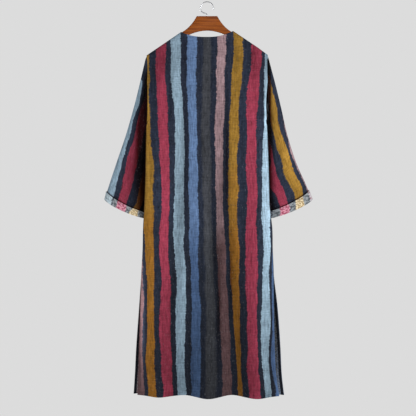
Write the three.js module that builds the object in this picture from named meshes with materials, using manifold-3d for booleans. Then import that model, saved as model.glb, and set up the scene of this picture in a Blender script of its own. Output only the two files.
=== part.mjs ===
// A long striped kaftan with flared sleeves and side slits, hung on a wooden hanger.
//
// Millimetres, +Z up. The origin is the top of the hook's inside, where it hangs from a rail. +Y points
// out of the garment's front and +X to the wearer's right, so the back panel faces -Y. Every piece of
// cloth is a wall of even thickness, built half to each side of a grid of middle points. The grids are
// worked out from the tables below: a row for each level of the body, each section of a sleeve and each
// fold. Neighbouring pieces are cut to the same points and stand a seam's gap apart.

import * as THREE from 'three';
import { mergeVertices } from 'three/addons/utils/BufferGeometryUtils.js';
import Module from 'manifold-3d';

const wasm = await Module();
wasm.setup();

// ---------------------------------------------------------------------------------------------------
// Driving dimensions
// ---------------------------------------------------------------------------------------------------

const CLOTH = 1.6; // thickness of a panel's wall
const TURNING = 1.2; // thickness of a narrow turned hem
const SEAM = 0.3; // gap between two pieces at a seam
const REST = 0.35; // gap between a piece and the panel it lies on
const ARMHOLE_SEAM = 0.45; // gap between a sleeve and the armhole

const HANGER_THICK = 12.6;
const HANGER_EDGE = 4; // radius that rounds the hanger's edges
const HANGER_FLAT = -52; // level of the hanger's flat top
const HANGER_FLAT_HALF = 39; // half the length of that flat
const HANGER_TIP = 219; // distance of each arm's tip from the middle
const HANGER_BELOW_RIDGE = 3; // how far the arms' top lies below the middle of the cloth

const NECK_HALF = 97.5; // half the width of the neck at the shoulder seam
const NECK_LEVEL = -112; // where the neck meets the shoulder seam
const SHOULDER_HALF = 227; // half the width across the shoulders
const SHOULDER_LEVEL = -200; // the shoulder point, where the sleeve is set in
const RIDGE_ROUND = 8.4; // how far the cloth stands out where it bends over the arms
const RIDGE_DROP = 10.4; // how far below the seam that bend is complete
const RIDGE_BLEND = 120; // height over which the drape takes over from the bend
const LEVELLING = 400; // height over which the rows of the grid become level

const BACK_NECK_DROP = 20; // back neck's depth below the neck points
const FRONT_NECK_DROP = 185; // front neck's depth below them
const UNDERARM_LEVEL = -461;
const UNDERARM_EASE = 1.4; // extra gap where the armhole closes under the arm
const SLIT_TOP = -1022; // top of the side slits
const HEM_LEVEL = -1482;
const SLIT_SPREAD = 20; // how far each panel's edge stands from the side at the hem
const SIDE_POWER = 6; // higher is a flatter panel with a sharper side fold

const HOOK_WIRE = 3.8;
const HOOK_LOOP = 24.5; // radius of the hook's loop, to the middle of the wire
const HOOK_FOOT = -76; // lower end of the stem, inside the hanger
const BORE_SIDES = 12;
const FIT = 0.4; // clearance round the stem in its hole

// The body, level by level. left and right: each side edge's distance from the middle. back and front:
// how far the middle of each panel stands out. edge: the side edges' place front to back. open: how far
// the panels' edges part at the armhole. flareLeft, flareRight: how much wider the front panel lies.
const BODY = [
  { z: -200, left: 227, right: 227, back: 22, front: 26, edge: 0, open: 13, flareLeft: 0, flareRight: 0 },
  { z: -290, left: 224, right: 222, back: 31, front: 39, edge: 0, open: 23, flareLeft: 0, flareRight: 0 },
  { z: -367, left: 220, right: 217, back: 36.5, front: 47, edge: -2, open: 29, flareLeft: 0, flareRight: 0 },
  { z: -430, left: 222, right: 214, back: 40, front: 52.5, edge: -8, open: 18, flareLeft: 0, flareRight: 0 },
  { z: -461, left: 225, right: 215, back: 41.5, front: 54.5, edge: -12, open: 0, flareLeft: 0, flareRight: 0 },
  { z: -560, left: 228, right: 220, back: 44.5, front: 58.5, edge: -16, open: 0, flareLeft: 0, flareRight: 0 },
  { z: -667, left: 229, right: 225, back: 46.5, front: 60.5, edge: -18, open: 0, flareLeft: 0, flareRight: 0 },
  { z: -770, left: 234, right: 231, back: 48, front: 61.5, edge: -16, open: 0, flareLeft: 0, flareRight: 0 },
  { z: -850, left: 238, right: 239, back: 49, front: 62, edge: -10, open: 0, flareLeft: 0, flareRight: 0 },
  { z: -930, left: 241, right: 245, back: 50.5, front: 62.5, edge: -4, open: 0, flareLeft: 0, flareRight: 0 },
  { z: -1022, left: 247, right: 251, back: 52, front: 63, edge: 0, open: 0, flareLeft: 0, flareRight: 0 },
  { z: -1150, left: 251, right: 253, back: 54, front: 63.5, edge: 0, open: 0, flareLeft: 5, flareRight: 9 },
  { z: -1300, left: 256, right: 259, back: 56, front: 64, edge: 1, open: 0, flareLeft: 11, flareRight: 15 },
  { z: -1482, left: 261, right: 275, back: 58, front: 65, edge: 2, open: 0, flareLeft: 16, flareRight: 19 },
];

// The folds that fall to the hem: where each lies at the hem, how wide it is, how far it stands out (or
// dips, when negative), the level where it starts and the level where it reaches its full depth.
const BACK_FOLDS = [
  { x: -184, width: 40, depth: 17, top: -700, full: -1440 },
  { x: -81, width: 42, depth: -16, top: -820, full: -1440 },
  { x: 4, width: 38, depth: 15, top: -760, full: -1440 },
  { x: 94, width: 40, depth: -20, top: -600, full: -1400 },
  { x: 193, width: 40, depth: 19, top: -640, full: -1440 },
];
const FRONT_FOLDS = [
  { x: -205, width: 36, depth: -14, top: -900, full: -1440 },
  { x: -140, width: 44, depth: 18, top: -620, full: -1440 },
  { x: -48, width: 42, depth: -17, top: -760, full: -1440 },
  { x: 52, width: 40, depth: 17, top: -700, full: -1440 },
  { x: 132, width: 40, depth: -19, top: -560, full: -1400 },
  { x: 212, width: 38, depth: 15, top: -820, full: -1440 },
];
const FOLD_FAN = 0.24; // how much nearer to the middle a fold lies at the shoulder than at the hem

// The sleeves, section by section from the armhole to the cuff. outer and inner: the fold edges away from
// the body and next to it, each with its level z, its distance from the middle on either side and its
// place y. near and far: how far the tube rounds out to the back and to the front. dip: how much lower the
// back of the section hangs.
const SLEEVE = [
  { outerZ: -216, outerLeft: 232, outerRight: 233, innerZ: -470, innerLeft: 231, innerRight: 221,
    outerY: 0, innerY: -5, near: 22, far: 24, dip: 0 },
  { outerZ: -250, outerLeft: 240, outerRight: 242, innerZ: -488, innerLeft: 231, innerRight: 221,
    outerY: 2, innerY: 4, near: 20, far: 25, dip: 2 },
  { outerZ: -310, outerLeft: 254, outerRight: 258, innerZ: -520, innerLeft: 226, innerRight: 217,
    outerY: 5, innerY: 19, near: 25, far: 28, dip: 5 },
  { outerZ: -400, outerLeft: 277, outerRight: 280, innerZ: -570, innerLeft: 222, innerRight: 215,
    outerY: 9, innerY: 34, near: 30, far: 30, dip: 8 },
  { outerZ: -500, outerLeft: 306, outerRight: 303, innerZ: -630, innerLeft: 220, innerRight: 215,
    outerY: 12, innerY: 44, near: 34, far: 30, dip: 11 },
  { outerZ: -600, outerLeft: 340, outerRight: 335, innerZ: -700, innerLeft: 219, innerRight: 216,
    outerY: 15, innerY: 50, near: 36, far: 30, dip: 14 },
  { outerZ: -675, outerLeft: 365, outerRight: 368, innerZ: -760, innerLeft: 218, innerRight: 217,
    outerY: 17, innerY: 53, near: 36, far: 29, dip: 16 },
  { outerZ: -741, outerLeft: 386, outerRight: 397, innerZ: -811, innerLeft: 216, innerRight: 218,
    outerY: 18, innerY: 55, near: 36, far: 28, dip: 18 },
];
const CUFF_DEPTH = { left: 31, right: 36 }; // height of each turned-up cuff
const CUFF_STANDS_OFF = 1.8; // how much further out a cuff's top edge stands than its fold
const CUFF_OVERHANG = 1.6; // how far a cuff's fold hangs below the sleeve's end
const SLEEVE_PER_ROW = 72; // length of sleeve from one row of its table to the next, near the cuff

const FACING_ROW = 2; // rows below the slit's top where the panels stand far enough apart for a turned edge

// Places across a panel, as distances from the middle at the shoulder. They crowd round the neck point,
// where the edge bends over the hanger.
const COLUMNS = [0, 26, 52, 76, 88, 93, 95.6, 96.9, NECK_HALF, 122, 146, 168, 188, 206, 219, SHOULDER_HALF];

// Levels of a panel's rows at its side edge: down the armhole, measured from the shoulder point, then
// down the side to the hem.
const ARMHOLE_STEPS = [0, 1.2, 4, 9, 17, 34, 60, 95, 135, 175, 210, 236, 250, 257];
const SIDE_LEVELS = [UNDERARM_LEVEL, -510, -580, -650, -720, -790, -860, -940, SLIT_TOP, -1050, -1095,
  -1160, -1235, -1315, -1398, HEM_LEVEL];
const LEVELS = [...ARMHOLE_STEPS.map((step) => SHOULDER_LEVEL - step), ...SIDE_LEVELS];
const UNDERARM_ROW = ARMHOLE_STEPS.length;
const SLIT_ROW = LEVELS.indexOf(SLIT_TOP);

const COLOURS = {
  navy: 0x2b303f,
  mustard: 0x866730,
  red: 0x963b50,
  paleBlue: 0x879eac,
  wrongSide: 0xb9b3b0,
  wood: 0x8f4d27,
  metal: 0xb9bcc0,
};

// ---------------------------------------------------------------------------------------------------
// Small helpers
// ---------------------------------------------------------------------------------------------------

const mix = (a, b, share) => a + (b - a) * share;
const clamp = (value, low, high) => Math.min(high, Math.max(low, value));
const ease = (value) => {
  const share = clamp(value, 0, 1);
  return share * share * (3 - 2 * share);
};

/** Reads a column of a table at a place between its rows, on a smooth curve through the rows. */
function read(table, key, place, column) {
  const falls = table[0][key] > table[table.length - 1][key];
  const found = table.findIndex((row) => (falls ? row[key] < place : row[key] > place));
  const next = found < 0 ? table.length - 1 : Math.max(found, 1);
  const slope = (row) => {
    const before = table[Math.max(row - 1, 0)];
    const after = table[Math.min(row + 1, table.length - 1)];
    return (after[column] - before[column]) / (after[key] - before[key]);
  };
  const start = table[next - 1];
  const end = table[next];
  const span = end[key] - start[key];
  const share = clamp((place - start[key]) / span, 0, 1);
  const curve = ease(share);
  const bend = span * share * (1 - share) * ((1 - share) * slope(next - 1) - share * slope(next));
  return mix(start[column], end[column], curve) + bend;
}

/** Unit normals of a grid of points, all on the same side; a closed grid joins its last column to its first. */
function gridNormals(grid, closed) {
  const across = grid[0].length;
  const normals = grid.map((row) => row.map(() => new THREE.Vector3()));
  const spans = closed ? across : across - 1;
  for (let i = 0; i + 1 < grid.length; i += 1) {
    for (let j = 0; j < spans; j += 1) {
      const k = (j + 1) % across;
      const first = grid[i + 1][k].clone().sub(grid[i][j]);
      const second = grid[i + 1][j].clone().sub(grid[i][k]);
      const normal = first.cross(second);
      [normals[i][j], normals[i][k], normals[i + 1][j], normals[i + 1][k]].forEach((n) => n.add(normal));
    }
  }
  normals.forEach((row) => row.forEach((normal) => normal.normalize()));
  return normals;
}

/** Turns a grid's normals over when they point against what is outward. */
function turnOutward(normals, isInward) {
  if (isInward) normals.forEach((row) => row.forEach((normal) => normal.negate()));
  return normals;
}

/** Closed solid between a grid of points moved out and the same grid moved in, by a half wall each. */
function clothWall(grid, halves, closed) {
  const down = grid.length;
  const across = grid[0].length;
  const positions = [];
  [1, -1].forEach((side) => {
    grid.forEach((row, i) => row.forEach((point, j) => {
      const place = point.clone().addScaledVector(halves[i][j], side);
      positions.push(place.x, place.y, place.z);
    }));
  });
  const out = (i, j) => i * across + (j % across);
  const inn = (i, j) => down * across + out(i, j);
  const faces = [];
  const quad = (a, b, c, d) => faces.push([a, b, c], [a, c, d]);
  const spans = closed ? across : across - 1;
  const last = down - 1;
  for (let j = 0; j < spans; j += 1) {
    for (let i = 0; i < last; i += 1) {
      quad(out(i, j), out(i, j + 1), out(i + 1, j + 1), out(i + 1, j));
      quad(inn(i, j), inn(i + 1, j), inn(i + 1, j + 1), inn(i, j + 1));
    }
    quad(out(0, j + 1), out(0, j), inn(0, j), inn(0, j + 1));
    quad(out(last, j), out(last, j + 1), inn(last, j + 1), inn(last, j));
  }
  if (!closed) {
    const edge = across - 1;
    for (let i = 0; i < last; i += 1) {
      quad(out(i, 0), out(i + 1, 0), inn(i + 1, 0), inn(i, 0));
      quad(out(i + 1, edge), out(i, edge), inn(i, edge), inn(i + 1, edge));
    }
  }
  return facingOut(positions, faces);
}

/** Geometry of a closed solid, with its faces turned so that they point out. */
function facingOut(positions, faces) {
  const corner = (index) => new THREE.Vector3().fromArray(positions, index * 3);
  const volume = faces.reduce((sum, [a, b, c]) => sum + corner(a).dot(corner(b).cross(corner(c))), 0);
  const index = volume > 0 ? faces.flat() : faces.flatMap(([a, b, c]) => [a, c, b]);
  const geometry = new THREE.BufferGeometry();
  geometry.setAttribute('position', new THREE.Float32BufferAttribute(positions, 3));
  geometry.setIndex(index);
  geometry.computeVertexNormals();
  return geometry;
}

function finish(colour, roughness, metalness = 0) {
  return new THREE.MeshStandardMaterial({ color: colour, roughness, metalness });
}

function piece(name, geometry, material) {
  const mesh = new THREE.Mesh(geometry, material);
  mesh.name = name;
  return mesh;
}

// ---------------------------------------------------------------------------------------------------
// The body: a back and a front panel that meet at the shoulders and sides
// ---------------------------------------------------------------------------------------------------

/** Level of the shoulder line, carried on to the middle. */
function shoulderLine(x) {
  const slope = (SHOULDER_LEVEL - NECK_LEVEL) / (SHOULDER_HALF - NECK_HALF);
  return NECK_LEVEL + slope * (Math.abs(x) - NECK_HALF);
}

/** Level of a panel's top edge: the neckline inside the neck points, the shoulder seam outside them. */
function topEdge(panel, x) {
  const share = Math.abs(x) / NECK_HALF;
  return share >= 1 ? shoulderLine(x) : NECK_LEVEL - panel.neckDrop * (1 - share ** panel.neckPower);
}

/** How far the cloth stands out where it bends over the hanger's arm. */
function ridge(drop) {
  const share = 1 - clamp(drop, 0, RIDGE_DROP) / RIDGE_DROP;
  return RIDGE_ROUND * Math.sqrt(1 - share * share);
}

/** How far the folds move a panel out at a place. */
function foldDepth(folds, x, z) {
  const spread = 1 - FOLD_FAN * ((z - HEM_LEVEL) / (SHOULDER_LEVEL - HEM_LEVEL));
  return folds.reduce((sum, fold) => {
    const offset = (x - fold.x * spread) / fold.width;
    return sum + fold.depth * ease((fold.top - z) / (fold.top - fold.full)) * Math.exp(-offset * offset);
  }, 0);
}

/** Half the distance between the two panels' edges at a level: armhole, closed seam, then slit. */
function edgeParting(z) {
  const slit = SLIT_SPREAD * Math.max(0, (SLIT_TOP - z) / (SLIT_TOP - HEM_LEVEL)) ** 1.1;
  const armhole = z > UNDERARM_LEVEL ? read(BODY, 'z', z, 'open') : 0;
  return Math.max(armhole, slit, SEAM / 2);
}

/** A point of a panel's middle surface; across runs from -1 at the left edge to 1 at the right edge. */
function panelPoint(panel, level, across) {
  const side = across < 0 ? 'left' : 'right';
  const flare = across < 0 ? 'flareLeft' : 'flareRight';
  const half = read(BODY, 'z', level, side) + (panel.flares ? read(BODY, 'z', level, flare) : 0);
  const x = across * half;
  const lift = topEdge(panel, across * SHOULDER_HALF) - SHOULDER_LEVEL;
  const z = level + lift * Math.max(0, 1 - (SHOULDER_LEVEL - level) / LEVELLING);
  const edge = read(BODY, 'z', z, 'edge') + panel.outward * edgeParting(level);
  const middle = panel.outward * read(BODY, 'z', z, panel.depth);
  const flat = 1 - Math.abs(across) ** SIDE_POWER;
  const folds = panel.outward * foldDepth(panel.folds, x, z) * (1 - Math.abs(across) ** 10);
  const draped = mix(edge, middle, flat) + folds;
  const drop = shoulderLine(x) - z;
  const bent = panel.outward * (SEAM / 2 + ridge(drop));
  return new THREE.Vector3(x, mix(bent, draped, ease((drop - RIDGE_DROP) / RIDGE_BLEND)), z);
}

const PANEL_ACROSS = [...COLUMNS.slice(1).reverse().map((x) => -x), ...COLUMNS].map((x) => x / SHOULDER_HALF);
const NECK_COLUMN = NECK_HALF / SHOULDER_HALF;

/** A panel's grid, its outward normals and the half walls that make its seams meet squarely. */
function cutPanel(panel) {
  const grid = LEVELS.map((level) => PANEL_ACROSS.map((across) => panelPoint(panel, level, across)));
  const middle = Math.floor(PANEL_ACROSS.length / 2);
  const raw = gridNormals(grid, false);
  const normals = turnOutward(raw, raw[UNDERARM_ROW][middle].y * panel.outward < 0);
  const halves = normals.map((row, i) => row.map((normal, j) => {
    const onShoulder = i === 0 && Math.abs(PANEL_ACROSS[j]) >= NECK_COLUMN;
    const onSide = Math.abs(PANEL_ACROSS[j]) === 1 && i >= UNDERARM_ROW && i <= SLIT_ROW;
    if (onShoulder) return new THREE.Vector3(normal.x, 0, normal.z).setLength(CLOTH / 2);
    if (onSide) return new THREE.Vector3(CLOTH / 2 / normal.x, 0, 0).clampLength(0, CLOTH * 0.8);
    return normal.clone().multiplyScalar(CLOTH / 2);
  }));
  return { grid, normals, halves };
}

const BACK = { outward: -1, depth: 'back', neckDrop: BACK_NECK_DROP, neckPower: 2.5, folds: BACK_FOLDS };
const FRONT = {
  outward: 1, depth: 'front', neckDrop: FRONT_NECK_DROP, neckPower: 1.15, folds: FRONT_FOLDS, flares: true,
};
const backCut = cutPanel(BACK);
const frontCut = cutPanel(FRONT);

// ---------------------------------------------------------------------------------------------------
// The sleeves: tubes that start round the armhole and flare to the cuff
// ---------------------------------------------------------------------------------------------------

/** Shares of the way from the outer to the inner fold, matched to the levels of the armhole. */
const ROUND_SLEEVE = [...ARMHOLE_STEPS.map((step) => SHOULDER_LEVEL - step), UNDERARM_LEVEL]
  .map((level) => (SHOULDER_LEVEL - level) / (SHOULDER_LEVEL - UNDERARM_LEVEL));

/** Places round the tube: down the back of it from the outer fold, then up the front again. */
const SLEEVE_PLACES = [
  ...ROUND_SLEEVE.map((share, k) => ({ share, k, outward: -1 })),
  ...ROUND_SLEEVE.slice(1, -1).map((share, k) => ({ share, k: k + 1, outward: 1 })).reverse(),
];

/** A point of a sleeve's middle surface; row counts rows of the sleeve's table and may be a fraction. */
function sleevePoint(side, row, place) {
  const table = SLEEVE.map((section, index) => ({ row: index, ...section }));
  const at = (column) => read(table, 'row', row, column);
  const sign = side === 'left' ? -1 : 1;
  const name = side === 'left' ? 'Left' : 'Right';
  const round = Math.sqrt(4 * place.share * (1 - place.share));
  const bulge = place.outward * round * at(place.outward < 0 ? 'near' : 'far');
  const lower = place.outward < 0 ? at('dip') * round : 0;
  return new THREE.Vector3(
    sign * mix(at(`outer${name}`), at(`inner${name}`), place.share),
    mix(at('outerY'), at('innerY'), place.share) + bulge,
    mix(at('outerZ'), at('innerZ'), place.share) - lower,
  );
}

/** The sleeve's first ring: the panels' armhole edges, a seam's gap further out. */
function armholeRing(side) {
  const column = side === 'left' ? 0 : PANEL_ACROSS.length - 1;
  const inner = side === 'left' ? 1 : column - 1;
  const sign = side === 'left' ? -1 : 1;
  const shoulder = new THREE.Vector3(sign, 0, (SHOULDER_LEVEL - NECK_LEVEL) / (SHOULDER_HALF - NECK_HALF));
  return SLEEVE_PLACES.map(({ share, k, outward }) => {
    const cut = outward < 0 ? backCut : frontCut;
    const point = cut.grid[k][column].clone();
    if (k === 0) return { point: point.setY(0).addScaledVector(shoulder.normalize(), SEAM), half: cut.halves[0][column] };
    if (k === UNDERARM_ROW) return { point: point.add(new THREE.Vector3(sign * 2, 0, 1.2)) };
    const along = cut.grid[k + 1][column].clone().sub(cut.grid[k - 1][column]).normalize();
    const out = point.clone().sub(cut.grid[k][inner]);
    out.addScaledVector(along, -out.dot(along)).normalize();
    const gap = ARMHOLE_SEAM + UNDERARM_EASE * ease((share - 0.78) / 0.22);
    return { point: point.addScaledVector(out, gap), half: cut.halves[k][column] };
  });
}

const SLEEVE_END = SLEEVE.length - 1 - CUFF_OVERHANG / SLEEVE_PER_ROW;
const SLEEVE_ROWS = [0, 1, 2, 2.5, 3, 3.5, 4, 4.5, 5, 5.5, 6, 6.5, SLEEVE_END];

/** Middle points of a sleeve's ring and the outward normals there. */
function ringsOf(rings) {
  const raw = gridNormals(rings, true);
  const ring = rings.length - 1;
  const centre = rings[ring].reduce((sum, point) => sum.add(point), new THREE.Vector3())
    .divideScalar(rings[ring].length);
  const outwardness = rings[ring].reduce(
    (sum, point, j) => sum + raw[ring][j].dot(point.clone().sub(centre)), 0);
  return turnOutward(raw, outwardness < 0);
}

function sleeve(side) {
  const first = armholeRing(side);
  const grid = [
    first.map(({ point }) => point),
    ...SLEEVE_ROWS.map((row) => SLEEVE_PLACES.map((place) => sleevePoint(side, row, place))),
  ];
  const halves = ringsOf(grid).map((row) => row.map((normal) => normal.multiplyScalar(CLOTH / 2)));
  first.forEach(({ half }, j) => {
    if (half) halves[0][j].copy(half);
  });
  return clothWall(grid, halves, true);
}

/** The sleeve's end turned up on itself: a band that lies on the sleeve and stands off at its top. */
function cuff(side) {
  const steps = [0, 0.35, 0.7, 1];
  const last = SLEEVE.length - 1;
  const rows = steps.map((step) => last - (1 - step) * CUFF_DEPTH[side] / SLEEVE_PER_ROW);
  const under = rows.map((row) => SLEEVE_PLACES.map((place) => sleevePoint(side, row, place)));
  const normals = ringsOf(under);
  const grid = under.map((ring, i) => ring.map((point, j) => {
    const off = CLOTH + REST + CUFF_STANDS_OFF * (1 - steps[i]) ** 1.5;
    return point.clone().addScaledVector(normals[i][j], off);
  }));
  const halves = normals.map((row) => row.map((normal) => normal.clone().multiplyScalar(CLOTH / 2)));
  return clothWall(grid, halves, true);
}

// ---------------------------------------------------------------------------------------------------
// The front panel's turned edges, which show past the back panel at the slits
// ---------------------------------------------------------------------------------------------------

function slitFacing(side) {
  const rows = LEVELS.map((level, i) => i).slice(SLIT_ROW + FACING_ROW);
  const columns = side === 'left' ? [0, 1] : [PANEL_ACROSS.length - 2, PANEL_ACROSS.length - 1];
  const depth = CLOTH / 2 + REST + TURNING / 2;
  const pick = (from) => rows.map((i) => columns.map((j) => from(i, j)));
  const grid = pick((i, j) => frontCut.grid[i][j].clone().addScaledVector(frontCut.normals[i][j], -depth));
  const halves = pick((i, j) => frontCut.normals[i][j].clone().multiplyScalar(TURNING / 2));
  return clothWall(grid, halves, false);
}

// ---------------------------------------------------------------------------------------------------
// The hanger and its hook
// ---------------------------------------------------------------------------------------------------

/** Outline of the wooden body, inset so that its rounded edges bring it to full size. */
function hangerOutline() {
  const armTop = (x) => shoulderLine(x) - HANGER_BELOW_RIDGE;
  const right = new THREE.Path();
  right.moveTo(0, HANGER_FLAT);
  right.lineTo(HANGER_FLAT_HALF, HANGER_FLAT);
  right.bezierCurveTo(46, -66, 62, -92, NECK_HALF - 10, armTop(NECK_HALF - 10));
  right.lineTo(HANGER_TIP - 8, armTop(HANGER_TIP - 8));
  right.quadraticCurveTo(HANGER_TIP + 2, armTop(HANGER_TIP + 1), HANGER_TIP - 1, -213);
  right.quadraticCurveTo(HANGER_TIP - 6, -219, HANGER_TIP - 16, -212);
  right.bezierCurveTo(170, -189, 120, -154, 96, -138);
  right.bezierCurveTo(66, -119, 34, -107, 0, -106.5);
  const points = right.getPoints(7);
  const mirrored = points.slice(1, -1).reverse().map((point) => new THREE.Vector2(-point.x, point.y));
  return new THREE.Shape([...points, ...mirrored]);
}

/** A closed mesh as a solid that can be cut. */
function asSolid(geometry) {
  const bare = geometry.clone();
  bare.deleteAttribute('normal');
  bare.deleteAttribute('uv');
  const merged = mergeVertices(bare, 1e-4);
  const mesh = new wasm.Mesh({
    numProp: 3,
    vertProperties: new Float32Array(merged.attributes.position.array),
    triVerts: new Uint32Array(merged.index.array),
  });
  mesh.merge();
  return new wasm.Manifold(mesh);
}

function asGeometry(solid) {
  const { vertProperties, triVerts } = solid.getMesh();
  const geometry = new THREE.BufferGeometry();
  geometry.setAttribute('position', new THREE.Float32BufferAttribute(vertProperties, 3));
  geometry.setIndex(Array.from(triVerts));
  geometry.computeVertexNormals();
  return geometry;
}

/** The wooden body: extruded front to back with rounded edges, and bored for the hook's stem. */
function hangerBody() {
  const body = new THREE.ExtrudeGeometry(hangerOutline(), {
    depth: HANGER_THICK - 2 * HANGER_EDGE,
    bevelEnabled: true,
    bevelThickness: HANGER_EDGE,
    bevelSize: HANGER_EDGE,
    bevelOffset: -HANGER_EDGE,
    bevelSegments: 3,
    steps: 1,
  });
  body.rotateX(Math.PI / 2);
  body.translate(0, HANGER_THICK / 2 - HANGER_EDGE, 0);
  const deep = HANGER_FLAT - HOOK_FOOT + FIT;
  const bore = new THREE.CylinderGeometry(HOOK_WIRE / 2 + FIT, HOOK_WIRE / 2 + FIT, 2 * deep, BORE_SIDES);
  bore.rotateX(Math.PI / 2);
  bore.translate(0, 0, HANGER_FLAT);
  return asGeometry(asSolid(body).subtract(asSolid(bore)));
}

/** The hook: a round of wire over the origin, then down to the middle and into the wood. */
function hook() {
  const centre = HOOK_WIRE / 2 - HOOK_LOOP;
  const route = new THREE.CurvePath();
  const turns = [-12, 40, 90, 140, 180, 206].map((degrees) => THREE.MathUtils.degToRad(degrees));
  const points = turns.map((angle) => (
    new THREE.Vector3(HOOK_LOOP * Math.cos(angle), 0, centre + HOOK_LOOP * Math.sin(angle))));
  const neck = new THREE.Vector3(0, 0, HANGER_FLAT + 2);
  points.push(new THREE.Vector3(-10, 0, -40.5), new THREE.Vector3(-2, 0, -46), neck);
  route.add(new THREE.CatmullRomCurve3(points));
  route.add(new THREE.LineCurve3(neck, new THREE.Vector3(0, 0, HOOK_FOOT)));
  const section = new THREE.Shape();
  section.absarc(0, 0, HOOK_WIRE / 2, 0, Math.PI * 2);
  return new THREE.ExtrudeGeometry(section, { steps: 44, extrudePath: route, curveSegments: 5 });
}

// ---------------------------------------------------------------------------------------------------
// The kaftan on its hanger
// ---------------------------------------------------------------------------------------------------

const kaftan = new THREE.Group();
kaftan.name = 'kaftan_on_hanger';
kaftan.add(
  piece('back_panel', clothWall(backCut.grid, backCut.halves, false), finish(COLOURS.navy, 0.9)),
  piece('front_panel', clothWall(frontCut.grid, frontCut.halves, false), finish(COLOURS.navy, 0.9)),
  piece('sleeve_left', sleeve('left'), finish(COLOURS.red, 0.9)),
  piece('sleeve_right', sleeve('right'), finish(COLOURS.mustard, 0.9)),
  piece('cuff_left', cuff('left'), finish(COLOURS.wrongSide, 0.92)),
  piece('cuff_right', cuff('right'), finish(COLOURS.wrongSide, 0.92)),
  piece('slit_facing_left', slitFacing('left'), finish(COLOURS.paleBlue, 0.92)),
  piece('slit_facing_right', slitFacing('right'), finish(COLOURS.paleBlue, 0.92)),
  piece('hanger', hangerBody(), finish(COLOURS.wood, 0.45)),
  piece('hanger_hook', hook(), finish(COLOURS.metal, 0.25, 1)),
);

export default kaftan;
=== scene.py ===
# %% [markdown]
# # A striped kaftan on a wooden hanger
#
# A kaftan is a long, loose robe cut from straight lengths of cloth. This one is sewn from a plain-woven
# cotton with ragged stripes of mustard, red, pale blue, blue, charcoal and mauve on a navy ground. The
# lesson builds the cloth as thin walls that hang as the real panels hang, then gives it its stripes,
# its pale wrong side, its hems and its sewing, and ends with the hanger and the light.
#
# The frame is loaded first. It says where every piece goes, in metres, with +Z up and the back of the
# garment towards -Y.

import bpy
import numpy as np
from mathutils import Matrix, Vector


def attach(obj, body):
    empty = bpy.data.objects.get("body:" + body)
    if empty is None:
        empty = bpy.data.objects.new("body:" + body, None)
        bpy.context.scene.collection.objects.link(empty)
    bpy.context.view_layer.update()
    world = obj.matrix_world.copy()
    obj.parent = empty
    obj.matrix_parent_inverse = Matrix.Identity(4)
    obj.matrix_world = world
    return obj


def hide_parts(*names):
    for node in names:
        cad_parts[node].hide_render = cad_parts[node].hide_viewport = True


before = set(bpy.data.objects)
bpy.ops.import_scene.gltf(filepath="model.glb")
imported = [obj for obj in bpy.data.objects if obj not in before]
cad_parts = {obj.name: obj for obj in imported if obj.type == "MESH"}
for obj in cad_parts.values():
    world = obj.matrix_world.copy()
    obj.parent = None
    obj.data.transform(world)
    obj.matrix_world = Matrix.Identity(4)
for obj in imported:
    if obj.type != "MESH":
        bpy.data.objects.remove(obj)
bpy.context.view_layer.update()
MM = 0.001
print("pieces in the frame:", sorted(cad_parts))

# %% [markdown]
# ## Smooth curves through a short table
#
# Cloth has no sharp corners along its length, so each size is given at a few levels and read between them
# on a smooth curve. `read` does that for whole arrays of places at once.

# %% Smooth reading of a table


def ease(share):
    share = np.clip(share, 0, 1)
    return share * share * (3 - 2 * share)


def mix(a, b, share):
    return a + (b - a) * share


def read(places, values, at):
    """Values of a smooth curve through (places, values), which may rise or fall, at the places asked for."""
    places, values = np.asarray(places, float), np.asarray(values, float)
    if places[0] > places[-1]:
        places, values = places[::-1], values[::-1]
    count = len(places)
    before, after = np.maximum(np.arange(count) - 1, 0), np.minimum(np.arange(count) + 1, count - 1)
    slope = (values[after] - values[before]) / (places[after] - places[before])
    end = np.clip(np.searchsorted(places, at), 1, count - 1)
    start = end - 1
    span = places[end] - places[start]
    share = np.clip((at - places[start]) / span, 0, 1)
    bend = span * share * (1 - share) * ((1 - share) * slope[start] - share * slope[end])
    return mix(values[start], values[end], ease(share)) + bend


# %% [markdown]
# ## The shape of the body
#
# The two panels hang from the hanger's arms. The table gives, level by level in millimetres, how far the
# side edges are from the middle, how far the middle of each panel stands out, where the side edge lies
# front to back, and how far the edges part at the armhole. The front lies a little wider at the hem.

# %% The body's levels
BODY_COLUMNS = ["z", "left", "right", "back", "front", "edge", "open", "flare_left", "flare_right"]
BODY_ROWS = [
    [-200, 227, 229, 22, 26, 0, 13, 0, 0],
    [-290, 225, 228, 31, 39, 0, 23, 0, 0],
    [-367, 223, 222, 36.5, 47, -2, 29, 0, 0],
    [-430, 224, 223, 40, 52.5, -8, 18, 0, 0],
    [-461, 227, 225, 41.5, 54.5, -12, 0, 0, 0],
    [-560, 229, 229, 44.5, 58.5, -16, 0, 0, 0],
    [-667, 231, 232, 46.5, 60.5, -18, 0, 0, 0],
    [-770, 235, 235, 48, 61.5, -16, 0, 0, 0],
    [-850, 240, 245, 49, 62, -10, 0, 0, 0],
    [-930, 242, 247, 50.5, 62.5, -4, 0, 0, 0],
    [-1022, 247, 251, 52, 63, 0, 0, 0, 0],
    [-1150, 251, 252, 54, 63.5, 0, 0, 5, 14],
    [-1300, 256, 255, 56, 64, 1, 0, 11, 22],
    [-1400, 258, 260, 57, 64.5, 1.5, 0, 14, 22],
    [-1482, 261, 271, 58, 65, 2, 0, 16, 20],
]
BODY = dict(zip(BODY_COLUMNS, np.array(BODY_ROWS, float).T))
NECK_HALF, NECK_LEVEL = 97.5, -112.0
SHOULDER_HALF, SHOULDER_LEVEL = 227.0, -200.0
UNDERARM_LEVEL, SLIT_TOP, HEM_LEVEL = -461.0, -1022.0, -1482.0
SLIT_SPREAD = 20  # how far each panel's edge stands from the side at the hem
SEAM = 0.3  # gap between two pieces at a seam
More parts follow.
